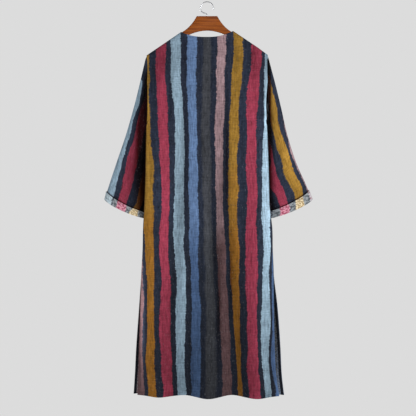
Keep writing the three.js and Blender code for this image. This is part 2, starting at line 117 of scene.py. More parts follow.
RIDGE_ROUND, RIDGE_DROP, RIDGE_BLEND = 8.4, 10.4, 120  # how the cloth bends over the hanger's arm
LEVELLING = 400  # height over which the rows of the grid become level


def body(column, z):
    return read(BODY["z"], BODY[column], z)


def shoulder_line(x):
    """Level of the shoulder seam at a distance from the middle."""
    slope = (SHOULDER_LEVEL - NECK_LEVEL) / (SHOULDER_HALF - NECK_HALF)
    return NECK_LEVEL + slope * (np.abs(x) - NECK_HALF)


print("half width at the hem, mm:", body("left", -1482.0), body("right", -1482.0))

# %% [markdown]
# ## Folds
#
# Hung cloth falls into long soft folds that start at different heights and deepen to the hem. No two are
# alike, so each has its own row: its place at the hem, its width, how far it stands out (or dips, when
# negative), where it starts and where it is full. Above them lie shorter drapes and creases: each is a
# soft trough or ridge along a line from one point to another, fading at both ends.

# %% Folds and creases
BACK_FOLDS = [
    (-184, 40, 17, -700, -1440),
    (-81, 42, -16, -820, -1440),
    (4, 38, 15, -760, -1440),
    (94, 40, -20, -600, -1400),
    (193, 40, 19, -640, -1440),
]
FRONT_FOLDS = [
    (-205, 36, -14, -900, -1440),
    (-140, 44, 18, -620, -1440),
    (-48, 42, -17, -760, -1440),
    (52, 40, 17, -700, -1440),
    (132, 40, -19, -560, -1400),
    (212, 38, 15, -820, -1440),
]

# x and z of a crease's upper end, x and z of its lower end, its bow to the side, its width and its depth
BACK_CREASES = [
    (-120, -150, -140, -560, 8, 15, 3.0),
    (-60, -170, -96, -900, -6, 17, -3.0),
    (-20, -240, -30, -700, 5, 13, 2.2),
    (34, -190, 40, -820, 6, 16, -2.8),
    (72, -260, 64, -1120, -7, 13, 2.6),
    (118, -150, 146, -640, -8, 16, 3.2),
    (160, -185, 178, -520, 6, 12, -2.6),
    (205, -215, 200, -420, -3, 7, -3.4),
    (196, -460, 204, -1000, 5, 12, -3.4),
    (-200, -470, -206, -960, -6, 13, -3.2),
    (-150, -760, -132, -1380, 7, 12, -3.4),
    (-40, -900, -34, -1440, -5, 10, -2.6),
    (52, -980, 46, -1460, 4, 11, -3.2),
    (128, -1020, 140, -1470, -4, 10, 3.0),
    (150, -700, 160, -1300, 6, 12, -2.8),
    (-226, -1060, -232, -1460, 3, 8, 3.2),
    (226, -1000, 240, -1460, 6, 8, -5.0),
    (246, -1090, 262, -1465, 4, 6, 3.4),
    (-104, -1180, -112, -1470, -3, 8, 2.4),
    (-196, -560, -160, -700, 4, 9, -1.8),
    (200, -540, 158, -720, -5, 10, -1.8),
]
FRONT_CREASES = [
    (-128, -160, -150, -600, -8, 15, 3.0),
    (-70, -300, -84, -880, 6, 16, -3.0),
    (30, -330, 22, -760, -5, 14, 2.4),
    (78, -280, 92, -1000, 8, 15, -3.0),
    (140, -150, 156, -620, -6, 15, 3.0),
    (-200, -470, -204, -940, 5, 12, -3.2),
    (200, -480, 210, -1000, -5, 12, -3.0),
    (-160, -780, -180, -1400, -6, 12, 3.0),
    (-10, -860, 4, -1450, 5, 11, -3.0),
    (170, -900, 184, -1450, 5, 10, -3.2),
    (-96, -1080, -90, -1470, 3, 9, 2.6),
    (90, -1150, 84, -1470, -3, 9, 2.6),
]
FOLD_FAN = 0.24


def fold_depth(folds, x, z):
    """How far the long folds move the cloth out."""
    spread = 1 - FOLD_FAN * ((z - HEM_LEVEL) / (SHOULDER_LEVEL - HEM_LEVEL))
    total = np.zeros_like(x)
    for place, width, depth, top, full in folds:
        total += depth * ease((top - z) / (top - full)) * np.exp(-(((x - place * spread) / width) ** 2))
    return total


def crease_depth(creases, x, z):
    """How far the shorter creases move the cloth out."""
    total = np.zeros_like(x)
    for x0, z0, x1, z1, bow, width, depth in creases:
        along = (z0 - z) / (z0 - z1)
        fade = ease(along / 0.3) * ease((1 - along) / 0.3)
        line = mix(x0, x1, along) + bow * np.sin(np.pi * np.clip(along, 0, 1))
        total += depth * fade * np.exp(-(((x - line) / width) ** 2))
    return total


print(len(BACK_FOLDS) + len(FRONT_FOLDS), "folds,", len(BACK_CREASES) + len(FRONT_CREASES), "creases")

# %% [markdown]
# ## A panel's middle surface
#
# The cloth bends over the hanger's arm in a tight round, and lower down the drape takes over. Towards the
# sides the panel turns in to meet the other one. `panel_points` gives the middle of the cloth for a level
# at the side edge and a place across, from -1 at the left edge to 1 at the right.

# %% A panel's surface
BACK = dict(out=-1, depth="back", drop=20, power=2.5, folds=BACK_FOLDS, creases=BACK_CREASES, flares=0)
FRONT = dict(out=1, depth="front", drop=185, power=1.15, folds=FRONT_FOLDS, creases=FRONT_CREASES, flares=1)


def edge_parting(z):
    """Half the gap between the two panels' edges: the armhole, the closed seam, then the slit."""
    slit = SLIT_SPREAD * np.clip((SLIT_TOP - z) / (SLIT_TOP - HEM_LEVEL), 0, None) ** 1.1
    armhole = np.where(z > UNDERARM_LEVEL, body("open", z), 0)
    return np.maximum(np.maximum(armhole, slit), SEAM / 2)


def panel_points(panel, level, across):
    out = panel["out"]
    half = np.where(across < 0, body("left", level), body("right", level))
    flare = np.where(across < 0, body("flare_left", level), body("flare_right", level))
    x = across * (half + panel["flares"] * flare)
    reach = np.abs(across) * SHOULDER_HALF
    neckline = NECK_LEVEL - panel["drop"] * (1 - np.minimum(reach / NECK_HALF, 1) ** panel["power"])
    top = np.where(reach >= NECK_HALF, shoulder_line(reach), neckline)
    z = level + (top - SHOULDER_LEVEL) * np.maximum(0, 1 - (SHOULDER_LEVEL - level) / LEVELLING)
    edge = body("edge", z) + out * edge_parting(level)
    middle = out * body(panel["depth"], z)
    folds = fold_depth(panel["folds"], x, z) + crease_depth(panel["creases"], x, z)
    draped = mix(edge, middle, 1 - np.abs(across) ** 6) + out * folds * (1 - np.abs(across) ** 10)
    drop = shoulder_line(x) - z
    z = z - 0.34 * folds * (1 - across**4) * ease((-1200 - level) / 282)
    z = z + 5.0 * ease((-40 - x) / 120) * ease((-1250 - level) / 232)
    z = z + 4.5 * ease(x / 140) * ease((level + 460) / 260) * (1 - 0.5 * ease((x - 190) / 37))
    bend = 1 - np.clip(drop, 0, RIDGE_DROP) / RIDGE_DROP
    bent = out * (SEAM / 2 + RIDGE_ROUND * np.sqrt(1 - bend * bend))
    return np.stack([x, mix(bent, draped, ease((drop - RIDGE_DROP) / RIDGE_BLEND)), z], -1)


print("middle of the back at the waist:", panel_points(BACK, np.array(-800.0), np.array(0.0)).round(1))

# %% [markdown]
# Cloth in a hollow of the drape gets less light than cloth on a ridge, and the lower middle hangs back from
# Rounded light alone loses much of that at this size, so each panel's points also carry a share of the light,
# from soft spots: place, half width, half height, and the share lost there, or gained when negative. They
# were typed by hand, 30 of the back's 52 after a scratch program had printed where the render was lighter or
# darker than the photo.

# %% Soft shade in the drape
BACK_SHADE = [
    (20, -1500, 170, 430, 0.44),
    (-150, -1330, 44, 260, 0.34),
    (130, -1360, 44, 380, 0.30),
    (232, -1430, 34, 170, 0.42),
    (10, -300, 46, 420, 0.26),
    (48, -780, 34, 330, 0.36),
    (-82, -540, 15, 350, 0.42),
    (-108, -970, 14, 140, 0.32),
    (-77, -1010, 12, 160, -0.26),
    (75, -590, 9, 300, 0.70),
    (73, -965, 8, 50, -0.50),
    (89, -1030, 10, 190, 0.58),
    (-106, -730, 14, 170, 0.26),
    (-94, -810, 10, 60, 0.26),
    (170, -205, 16, 40, 0.32),
    (108, -195, 14, 50, 0.28),
    (104, -1060, 9, 120, 0.22),
    (28, -950, 10, 140, 0.50),
    (43, -1150, 10, 200, 0.68),
    (60, -640, 9, 130, 0.30),
    (20, -690, 14, 150, 0.18),
    (-15, -540, 8, 110, 0.26),
    (-2, -900, 10, 150, -0.26),
    (-32, -940, 9, 110, -0.36),
    (-56, -1360, 14, 130, 0.34),
    (-130, -1130, 12, 90, 0.30),
    (-190, -1140, 17, 260, -0.30),
    (-226, -420, 8, 200, -0.55),
    (-197, -350, 10, 90, 0.28),
    (-136, -370, 12, 120, 0.28),
    (120, -860, 10, 140, -0.32),
    (133, -540, 9, 110, 0.26),
    (197, -860, 9, 420, -0.30),
    (222, -1400, 16, 80, -0.40),
    (172, -1425, 20, 60, 0.24),
    (-104, -1430, 30, 120, 0.28),
    (-56, -900, 40, 330, 0.16),
    (-190, -210, 60, 90, 0.34),
    (-90, -190, 34, 70, 0.20),
    (186, -230, 34, 90, 0.26),
    (150, -840, 60, 320, 0.12),
    (-214, -960, 26, 330, -0.34),
    (-165, -780, 30, 260, -0.20),
    (228, -830, 22, 250, -0.50),
    (222, -560, 16, 120, -0.20),
    (221, -400, 7, 110, -0.75),
    (211, -345, 6, 60, 0.40),
    (222, -255, 14, 60, 0.20),
    (236, -700, 6, 260, -0.35),
    (112, -600, 34, 160, -0.16),
    (-242, -1160, 9, 180, -4.40),
    (271, -1200, 12, 220, -3.00),
]
FRONT_SHADE = [
    (0, -1500, 190, 400, 0.30),
    (-52, -1000, 30, 300, 0.24),
    (130, -1050, 34, 330, 0.28),
    (0, -420, 60, 200, 0.12),
    (210, -520, 24, 160, 0.22),
    (-205, -520, 24, 160, 0.22),
]


def panel_light(spots, x, z):
    """Each point's share of the light."""
    share = np.ones_like(x)
    for place, level, wide, high, lost in spots:
        share *= 1 - lost * np.exp(-(((x - place) / wide) ** 2) - ((z - level) / high) ** 2)
    return share


print("light at the middle of the hem:", panel_light(BACK_SHADE, np.array(0.0), HEM_LEVEL).round(2))

# %% [markdown]
# ## Walls of cloth
#
# A length of cotton is about a millimetre thick when it hangs. Each piece is a closed wall: an outer layer
# that shows the right side, an inner layer that shows the wrong side, and a narrow strip that joins them
# round the edge. The layers are a grid of points moved out and in by half the thickness.

# %% Wall builder
CLOTH = 1.1


def unit(vectors):
    return vectors / np.maximum(np.linalg.norm(vectors, axis=-1, keepdims=True), 1e-9)


def grid_normals(grid, closed=False):
    """Normals of a grid of points, rows going down and columns going across."""
    if closed:
        across = np.roll(grid, -1, 1) - np.roll(grid, 1, 1)
    else:
        across = np.gradient(grid, axis=1)
    return unit(np.cross(across, np.gradient(grid, axis=0)))


def mesh_object(name, points, faces, uvs, kinds, materials, light=None):
    """A smooth mesh from points in mm, four-cornered faces, a UV for each corner and a material each.
    light gives each point's share of the light, 1 in the open and less deep in a fold."""
    mesh = bpy.data.meshes.new(name)
    mesh.vertices.add(len(points))
    mesh.vertices.foreach_set("co", (np.asarray(points) * MM).astype(np.float32).ravel())
    mesh.loops.add(faces.size)
    mesh.loops.foreach_set("vertex_index", faces.astype(np.int32).ravel())
    mesh.polygons.add(len(faces))
    mesh.polygons.foreach_set("loop_start", (np.arange(len(faces)) * 4).astype(np.int32))
    mesh.polygons.foreach_set("material_index", np.asarray(kinds, np.int32))
    layer = mesh.uv_layers.new(name="cloth")
    layer.data.foreach_set("uv", np.asarray(uvs, np.float32).ravel())
    share = mesh.attributes.new("light", "FLOAT", "POINT")
    light = np.ones(len(points)) if light is None else light
    share.data.foreach_set("value", np.asarray(light, np.float32).ravel())
    mesh.update(calc_edges=True)
    mesh.validate()
    mesh.polygons.foreach_set("use_smooth", np.ones(len(mesh.polygons), bool))
    for material in materials:
        mesh.materials.append(material)
    piece = bpy.data.objects.new(name, mesh)
    bpy.context.scene.collection.objects.link(piece)
    return piece


def wall(name, grid, halves, out, corner_uv, materials, closed=False, light=None):
    """Closed wall about a grid. out says which side the grid's own normals face: 1 for the outer layer.
    corner_uv holds each face's four UV pairs in the order top left, top right, bottom right, bottom left."""
    down, wide = grid.shape[:2]
    spans = wide if closed else wide - 1
    points = np.concatenate([(grid + halves).reshape(-1, 3), (grid - halves).reshape(-1, 3)])
    i, j = np.meshgrid(np.arange(down - 1), np.arange(spans), indexing="ij")
    k = (j + 1) % wide
    quads = np.stack([i * wide + j, i * wide + k, (i + 1) * wide + k, (i + 1) * wide + j], -1).reshape(-1, 4)
    uv = corner_uv.reshape(-1, 4, 2)
    layer = down * wide
    if out > 0:
        outer, inner, outer_uv, inner_uv = quads, quads[:, ::-1] + layer, uv, uv[:, ::-1]
    else:
        outer, inner, outer_uv, inner_uv = quads[:, ::-1], quads + layer, uv[:, ::-1], uv
    rims, rim_uv = [], []

    def rim(first, second, pair_uv):
        rims.append(np.stack([first, second, second + layer, first + layer], -1))
        rim_uv.append(np.stack([pair_uv[:, 0], pair_uv[:, 1], pair_uv[:, 1], pair_uv[:, 0]], 1))

    columns, following = np.arange(spans), (np.arange(spans) + 1) % wide
    last = (down - 1) * wide
    rim(following, columns, corner_uv[0][:, [1, 0]])
    rim(last + columns, last + following, corner_uv[-1][:, [3, 2]])
    if not closed:
        rows = np.arange(down - 1) * wide
        rim(rows, rows + wide, corner_uv[:, 0][:, [0, 3]])
        rim(rows + wide + wide - 1, rows + wide - 1, corner_uv[:, -1][:, [2, 1]])
    rims, rim_uv = np.concatenate(rims), np.concatenate(rim_uv)
    if out < 0:
        rims, rim_uv = rims[:, ::-1], rim_uv[:, ::-1]
    faces = np.concatenate([outer, inner, rims])
    kinds = np.concatenate([np.zeros(len(outer)), np.ones(len(inner)), np.zeros(len(rims))])
    light = np.ones((down, wide)) if light is None else light
    # painted shade: the inner layer gets six tenths of the outer layer's light at most, as cloth inside the
    # garment
    both = np.concatenate([light.ravel(), np.minimum(light, 1).ravel() * 0.6])
    uvs = np.concatenate([outer_uv, inner_uv, rim_uv])
    return mesh_object(name, points, faces, uvs, kinds, materials, both)


# %% [markdown]
# ## Where the stripes lie
#
# One width of the cloth repeats every 330 mm: mustard, red, pale blue, blue, charcoal, mauve, each from
# 34 to 41 mm wide with navy between. When the cloth is cut and hung, folds narrow some stripes and hide
# parts of others. The chart says where the two edges of each stripe lie on the hanging back, at a few
# levels, as seen from 6 m behind it. Between the edges the cloth's own coordinate runs evenly, so a fold
# squeezes its stripes as a real one does.
#
# Most places in this chart and in the left sleeve's were printed in millimetres by a scratch program, from
# places on the photo. The rest, and almost all of the right sleeve's, were typed or changed later.

# %% The repeat and the chart of the back
REPEAT = 330.0
STRIPES = {
    "mustard": (0, 36),
    "red": (57, 41),
    "pale_blue": (113, 38),
    "blue": (170, 39),
    "charcoal": (224, 34),
    "mauve": (275, 35),
}
EYE_BACK, EYE_LEVEL, EYE_ASIDE = 6000.0, -775.0, 3.75
CHART_PLANE, CHART_ASIDE = -30.0, 4.0
BACK_LEVELS = [-217, -367, -480, -611, -780, -911, -1042, -1230, -1342, -1462]
BACK_CHART = [
    ("mauve", -1, [-317, -317, -316, -310, -304, -293, -280, -275, -273, -273],
     [-283, -283, -281, -275, -269, -244, -230, -235, -236, -229]),
    ("mustard", 0, [-248, -248, -246, -244, -235, -230, -223, -220, -226, -215],
     [-212, -214, -207, -196, -196, -194, -195, -193, -194, -184]),
    ("red", 0, [-189, -185, -178, -171, -168, -175, -169, -176, -170, -161],
     [-150, -147, -140, -136, -135, -141, -133, -131, -126, -124]),
    ("pale_blue", 0, [-133, -125, -115, -117, -120, -121, -112, -114, -112, -107],
     [-95, -90, -82, -82, -82, -83, -75, -78, -79, -73]),
    ("blue", 0, [-72, -72, -65, -65, -64, -64, -55, -57, -56, -56],
     [-32, -36, -32, -29, -26, -28, -26, -19, -19, -23]),
    ("charcoal", 0, [-13, -17, -21, -16, -11, -7, -4, 0, -2, -2],
     [19, 17, 16, 20, 23, 25, 31, 39, 41, 41]),
    ("mauve", 0, [42, 37, 32, 34, 37, 40, 45, 50, 56, 62],
     [75, 71, 66, 65, 65, 73, 78, 89, 93, 101]),
    ("mustard", 1, [101, 91, 87, 85, 83, 88, 93, 105, 114, 121],
     [139, 128, 121, 120, 119, 124, 126, 127, 132, 137]),
    ("red", 1, [171, 154, 151, 151, 151, 148, 152, 153, 153, 159],
     [210, 197, 189, 190, 192, 193, 192, 192, 198, 203]),
    ("pale_blue", 1, [220, 217, 216, 209, 211, 212, 210, 205, 209, 219],
     [252, 251, 246, 242, 241, 243, 239, 243, 236, 246]),
    ("blue", 1, [274, 270, 266, 263, 259, 250, 245, 248, 243, 264],
     [308, 304, 300, 295, 289, 280, 272, 269, 268, 283]),
]


def edges_of(name, turn):
    """The cloth's coordinate at the two edges of a stripe, a number of repeats along."""
    centre, width = STRIPES[name]
    return centre + turn * REPEAT - width / 2, centre + turn * REPEAT + width / 2


def as_seen(points):
    """Where points seem to lie on the chart's plane, seen from the eye."""
    scale = (EYE_BACK + CHART_PLANE) / (EYE_BACK + points[..., 1])
    x = EYE_ASIDE + (points[..., 0] - EYE_ASIDE) * scale
    return x, EYE_LEVEL + (points[..., 2] - EYE_LEVEL) * scale


def across_cloth(x, z, levels, places, coordinates):
    """The cloth's coordinate across at seen points: places are the marks' places at each level."""
    marks = np.stack([read(levels, place, z) for place in places])
    result = np.full_like(x, np.nan)
    for m in range(len(coordinates) - 1):
        share = (x - marks[m]) / (marks[m + 1] - marks[m])
        inside = (share >= 0) & (share < 1)
        result = np.where(inside, mix(coordinates[m], coordinates[m + 1], share), result)
    sign = np.sign(coordinates[-1] - coordinates[0])
    result = np.where(x < marks[0], coordinates[0] - sign * (marks[0] - x), result)
    return np.where(x >= marks[-1], coordinates[-1] + sign * (x - marks[-1]), result)


BACK_PLACES = [place for _, _, left, right in BACK_CHART for place in (left, right)]
BACK_COORDINATES = [edge for name, turn, _, _ in BACK_CHART for edge in edges_of(name, turn)]


def corners(values):
    """A grid's values at the four corners of each face."""
    return np.stack([values[:-1, :-1], values[:-1, 1:], values[1:, 1:], values[1:, :-1]], -2)


print(len(BACK_CHART), "stripes on the back; the cloth's width in it:",
      BACK_COORDINATES[-1] - BACK_COORDINATES[0], "mm")

# %% [markdown]
# ## The striped cloth
#
# The stripes are hand-drawn in character: each edge wanders by a few millimetres and is torn into small
# teeth. The material shifts the cloth's coordinate by slow, middling and fine noise before it looks up
# the stripe, so no two edges are alike and nothing repeats. The yarn is slubby, so light and dark
# streaks run along the warp, with fainter ones across, and the plain weave shows as a fine relief.
#
# `Nodes` is a small helper that makes and joins shader nodes in one line each.

# %% Node helper


IN_SHADE = (1.0, 0.35, 0.4, 1)


class Nodes:
    def __init__(self, name):
        self.material = bpy.data.materials.new(name)
        self.material.use_nodes = True
        self.tree = self.material.node_tree
        self.shader = self.tree.nodes["Principled BSDF"]

    def link(self, socket, value):
        if isinstance(value, bpy.types.NodeSocket):
            self.tree.links.new(value, socket)
        else:
            socket.default_value = value

    def math(self, operation, a, b=0.0, clamp=False):
        node = self.tree.nodes.new("ShaderNodeMath")
        node.operation, node.use_clamp = operation, clamp
        self.link(node.inputs[0], a)
        self.link(node.inputs[1], b)
        return node.outputs[0]

    def coordinates(self, layer="cloth"):
        node = self.tree.nodes.new("ShaderNodeUVMap")
        node.uv_map = layer
        split = self.tree.nodes.new("ShaderNodeSeparateXYZ")
        self.link(split.inputs[0], node.outputs[0])
        return split.outputs[0], split.outputs[1]

    def attribute(self, name):
        node = self.tree.nodes.new("ShaderNodeAttribute")
        node.attribute_name = name
        return node.outputs["Fac"]

    def noise(self, u, v, wide, long, seed, detail=1.0):
        """Noise whose grains are wide by long, in metres of cloth, about 0.5."""
        place = self.tree.nodes.new("ShaderNodeCombineXYZ")
        self.link(place.inputs[0], self.math("DIVIDE", u, wide))
        self.link(place.inputs[1], self.math("DIVIDE", v, long))
        place.inputs[2].default_value = seed
        node = self.tree.nodes.new("ShaderNodeTexNoise")
        node.inputs["Scale"].default_value = 1.0
        node.inputs["Detail"].default_value = detail
        self.link(node.inputs["Vector"], place.outputs[0])
        return node.outputs["Fac"]

    def wave(self, value, pitch):
        """A smooth wave from 0 to 1 with that pitch."""
        turned = self.math("MULTIPLY", value, 2 * np.pi / pitch)
        return self.math("ADD", self.math("MULTIPLY", self.math("SINE", turned), 0.5), 0.5)

    def ramp(self, value, stops):
        node = self.tree.nodes.new("ShaderNodeValToRGB")
        elements = node.color_ramp.elements
        elements[0].position, elements[0].color = stops[0][0], (*stops[0][1], 1)
        elements[1].position, elements[1].color = stops[-1][0], (*stops[-1][1], 1)
        for place, colour in stops[1:-1]:
            elements.new(place).color = (*colour, 1)
        self.link(node.inputs[0], value)
        return node.outputs[0]

    def blend(self, share, a, b, kind="MIX"):
        node = self.tree.nodes.new("ShaderNodeMix")
        node.data_type, node.blend_type = "RGBA", kind
        self.link(node.inputs["Factor"], share)
        self.link(node.inputs[6], a)
        self.link(node.inputs[7], b)
        return node.outputs[2]

    def scale(self, colour, amount):
        """A colour times a number."""
        grey = self.tree.nodes.new("ShaderNodeCombineColor")
        for socket in grey.inputs:
            self.link(socket, amount)
        return self.blend(1.0, colour, grey.outputs[0], "MULTIPLY")

    def shade(self, colour, light):
        """A colour with a share of its light: deep shade turns warm, lit only by light off the cloth."""
        tint = self.blend(self.between(light, 0.0, 0.5), IN_SHADE, (1, 1, 1, 1))
        return self.scale(self.blend(1.0, colour, tint, "MULTIPLY"), light)

    def between(self, value, low, high):
        """0 below low, 1 above high, smooth between."""
        node = self.tree.nodes.new("ShaderNodeMapRange")
        node.interpolation_type = "SMOOTHSTEP"
        self.link(node.inputs[0], value)
        node.inputs[1].default_value, node.inputs[2].default_value = low, high
        return node.outputs[0]

    def bump(self, height, strength, distance):
        node = self.tree.nodes.new("ShaderNodeBump")
        node.inputs["Strength"].default_value = strength
        node.inputs["Distance"].default_value = distance
        self.link(node.inputs["Height"], height)
        self.link(self.shader.inputs["Normal"], node.outputs[0])


def linear(*srgb):
    """A colour as the shaders take it, from the 0 to 255 numbers that a colour picker shows."""
    share = np.array(srgb) / 255
    return tuple(np.where(share <= 0.04045, share / 12.92, ((share + 0.055) / 1.055) ** 2.4))


# %% [markdown]
# The dyes are strong on the right side of the cloth. All but the red and the pale blue are darker on the
# lower half, as painted shade for the light that falls off lower down. So there are two sets of colours, a
# lit one and a shaded one, and the cloth goes from one to the other between the waist and the knee. The wrong
# side shows the pale weft between the same stripes.

# %% Colours of the stripes
UPPER = {
    "navy": linear(42, 48, 63),
    "mustard": linear(143, 108, 45),
    "red": linear(150, 57, 77),
    "pale_blue": linear(139, 163, 180),
    "blue": linear(99, 125, 164),
    "charcoal": linear(69, 71, 77),
    "mauve": linear(162, 134, 139),
}
# painted shade: the lower half's darker copies of the stripe colours
LOWER = dict(
    UPPER,
    navy=linear(36, 41, 53),
    mustard=linear(141, 95, 36),
    blue=linear(73, 97, 134),
    charcoal=linear(59, 61, 66),
    mauve=linear(98, 74, 76),
)
PALE = {
    "navy": linear(150, 156, 161),
    "mustard": linear(230, 212, 174),
    "red": linear(218, 150, 168),
    "pale_blue": linear(194, 212, 220),
    "blue": linear(170, 186, 210),
    "charcoal": linear(176, 176, 176),
    "mauve": linear(206, 198, 204),
}
FLECKS = {
    "navy": linear(70, 77, 82),
    "mustard": linear(162, 134, 90),
    "red": linear(154, 54, 82),
    "pale_blue": linear(170, 188, 198),
    "blue": linear(110, 130, 166),
    "charcoal": linear(92, 92, 94),
    "mauve": linear(170, 128, 134),
}
SOFT_EDGE = {"charcoal": 7.0}
EDGE_TORN = 1.0


def stripe_stops(colours, edge=0.8):
    """Colour stops over one repeat, which starts halfway between the last stripe and the first."""
    start = -28.0
    stops = [(0.0, colours["navy"])]
    for name, (centre, width) in STRIPES.items():
        soft = SOFT_EDGE.get(name, edge)
        half = width / 2 - EDGE_TORN
        for place, colour in (
            (centre - half - soft / 2, "navy"),
            (centre - half + soft / 2, name),
            (centre + half - soft / 2, name),
            (centre + half + soft / 2, "navy"),
        ):
            stops.append(((place - start) / REPEAT, colours[colour]))
    return stops + [(1.0, colours["navy"])]


def stripe_place(nodes, u, v):
    """Where a point of the cloth lies in the repeat, 0 to 1, with the ragged edges worked in."""
    moved = u
    for wide, long, seed, reach in (
        (0.050, 0.110, 3.1, 0.0150),
        (0.030, 0.024, 7.7, 0.0062),
        (0.014, 0.0065, 12.9, 0.0062),
        (0.006, 0.0028, 17.3, 0.0048),
    ):
        grain = nodes.math("SUBTRACT", nodes.noise(u, v, wide, long, seed), 0.5)
        moved = nodes.math("ADD", moved, nodes.math("MULTIPLY", grain, reach))
    share = nodes.math("DIVIDE", nodes.math("ADD", moved, 0.028), REPEAT * MM)
    return nodes.math("FRACT", share)


print("stops in a repeat:", len(stripe_stops(UPPER)))

# %% [markdown]
# The weave's relief comes from two waves at right angles, one thread apart. It is shallow: at arm's length
# cotton reads as matt, with a faint grain.

# %% The right side and the wrong side of the cloth
THREAD = 0.0011


def weave(nodes, u, v):
    return nodes.math("MULTIPLY", nodes.wave(u, THREAD), nodes.wave(v, THREAD * 1.15))


def right_side():
    nodes = Nodes("striped_cloth")
    u, v = nodes.coordinates()
    place = stripe_place(nodes, u, v)
    # painted shade: below the waist the colours turn to the darker lower set
    lower = nodes.between(nodes.math("ADD", v, nodes.noise(u, v, 0.2, 0.3, 5.0)), 1.10, 1.55)
    upper_colour, lower_colour = (nodes.ramp(place, stripe_stops(colour_set)) for colour_set in (UPPER, LOWER))
    colour = nodes.blend(lower, upper_colour, lower_colour)
    streaks = nodes.noise(u, v, 0.0016, 0.05, 21.0, 2.0)
    depth = nodes.math("MULTIPLY", streaks, 1.0)
    for wide, long, seed, reach in (
        (0.0065, 0.034, 25.0, 1.05),
        (0.0085, 0.0065, 29.0, 0.60),
        (0.05, 0.0046, 33.0, 0.60),
        (0.05, 0.07, 44.0, 0.30),
    ):
        depth = nodes.math("ADD", depth, nodes.math("MULTIPLY", nodes.noise(u, v, wide, long, seed), reach))
    depth = nodes.math("SUBTRACT", depth, 0.775)
    colour = nodes.shade(nodes.scale(colour, depth), nodes.attribute("light"))
    slub = nodes.between(nodes.noise(u, v, 0.0013, 0.011, 61.0, 1.0), 0.66, 0.74)
    colour = nodes.blend(nodes.math("MULTIPLY", slub, 0.16), colour, (0.55, 0.55, 0.58, 1))
    nodes.link(nodes.shader.inputs["Base Color"], colour)
    relief = nodes.math("ADD", weave(nodes, u, v), nodes.math("MULTIPLY", streaks, 1.6))
    nodes.bump(relief, 0.5, 0.00022)
    nodes.shader.inputs["Roughness"].default_value = 0.92
    nodes.shader.inputs["Sheen Weight"].default_value = 0.03
    nodes.shader.inputs["Sheen Roughness"].default_value = 0.5
    nodes.shader.inputs["Specular IOR Level"].default_value = 0.06
    return nodes.material


SEAM_AT = 93.0


def wrong_side():
    nodes = Nodes("cloth_wrong_side")
    u, v = nodes.coordinates()
    place = stripe_place(nodes, u, v)
    colour = nodes.ramp(place, stripe_stops(PALE, 3.0))
    streaks = nodes.noise(u, v, 0.0016, 0.05, 21.0, 2.0)
    colour = nodes.scale(colour, nodes.math("ADD", nodes.math("MULTIPLY", streaks, 0.5), 0.75))
    flecks = nodes.between(nodes.noise(u, v, 0.0085, 0.0070, 71.0, 1.0), 0.48, 0.54)
    fleck_colour = nodes.ramp(place, stripe_stops(FLECKS, 3.0))
    colour = nodes.blend(nodes.math("MULTIPLY", flecks, 0.85), colour, fleck_colour)
    specks = nodes.between(nodes.noise(u, v, 0.0062, 0.0058, 83.0, 1.0), 0.58, 0.66)
    colour = nodes.blend(nodes.math("MULTIPLY", specks, 0.55), colour, (*linear(62, 62, 70), 1))
    seam = nodes.math("ABSOLUTE", nodes.math("SUBTRACT", place, (SEAM_AT + 28) / REPEAT))
    seam = nodes.math("SUBTRACT", 1.0, nodes.between(seam, 1.0 / REPEAT, 2.2 / REPEAT))
    colour = nodes.blend(nodes.math("MULTIPLY", seam, 0.85), colour, (*linear(52, 56, 70), 1))
    colour = nodes.shade(colour, nodes.attribute("light"))
    nodes.link(nodes.shader.inputs["Base Color"], colour)
    nodes.bump(weave(nodes, u, v), 0.5, 0.00022)
    nodes.shader.inputs["Roughness"].default_value = 0.94
    nodes.shader.inputs["Sheen Weight"].default_value = 0.1
    nodes.shader.inputs["Specular IOR Level"].default_value = 0.2
    return nodes.material


CLOTH_RIGHT, CLOTH_WRONG = right_side(), wrong_side()

# %% [markdown]
# ## The back and front panels
#
# The grid is fine enough for the creases, and finer still at the neck point, over the hanger and at the
# hem, where a narrow turning makes the cloth three layers thick. The turning's fold line shows as a low
# step and a shallow groove under the stitches, on the outside as on the inside.

# %% Grids of the panels
ACROSS = np.unique(np.concatenate([
    np.linspace(-1, 1, 131),
    np.array([93.0, 95.6, 96.9, 97.5, 99.5]) / SHOULDER_HALF,
    -np.array([93.0, 95.6, 96.9, 97.5, 99.5]) / SHOULDER_HALF,
]))
LEVELS = np.unique(np.concatenate([
    SHOULDER_LEVEL - np.array([0, 0.6, 1.2, 2.4, 4, 6, 9, 13]),
    np.arange(-220, HEM_LEVEL + 20, -6.5),
    [UNDERARM_LEVEL, SLIT_TOP],
    HEM_LEVEL + np.array([0, 1, 2.5, 5, 7.5, 8.6, 9.4, 10.2, 11, 12.5, 15, 18.5]),
]))[::-1]
HEM_DEPTH = 9.4


def turning(distance, depth, raise_by=0.5, groove=0.35):
    """Extra half thickness over a turned hem: the turning, less the groove that the stitches pull in."""
    turned = raise_by * (1 - ease((distance - depth) / 1.6))
    return turned - groove * np.exp(-(((distance - depth) / 0.9) ** 2))


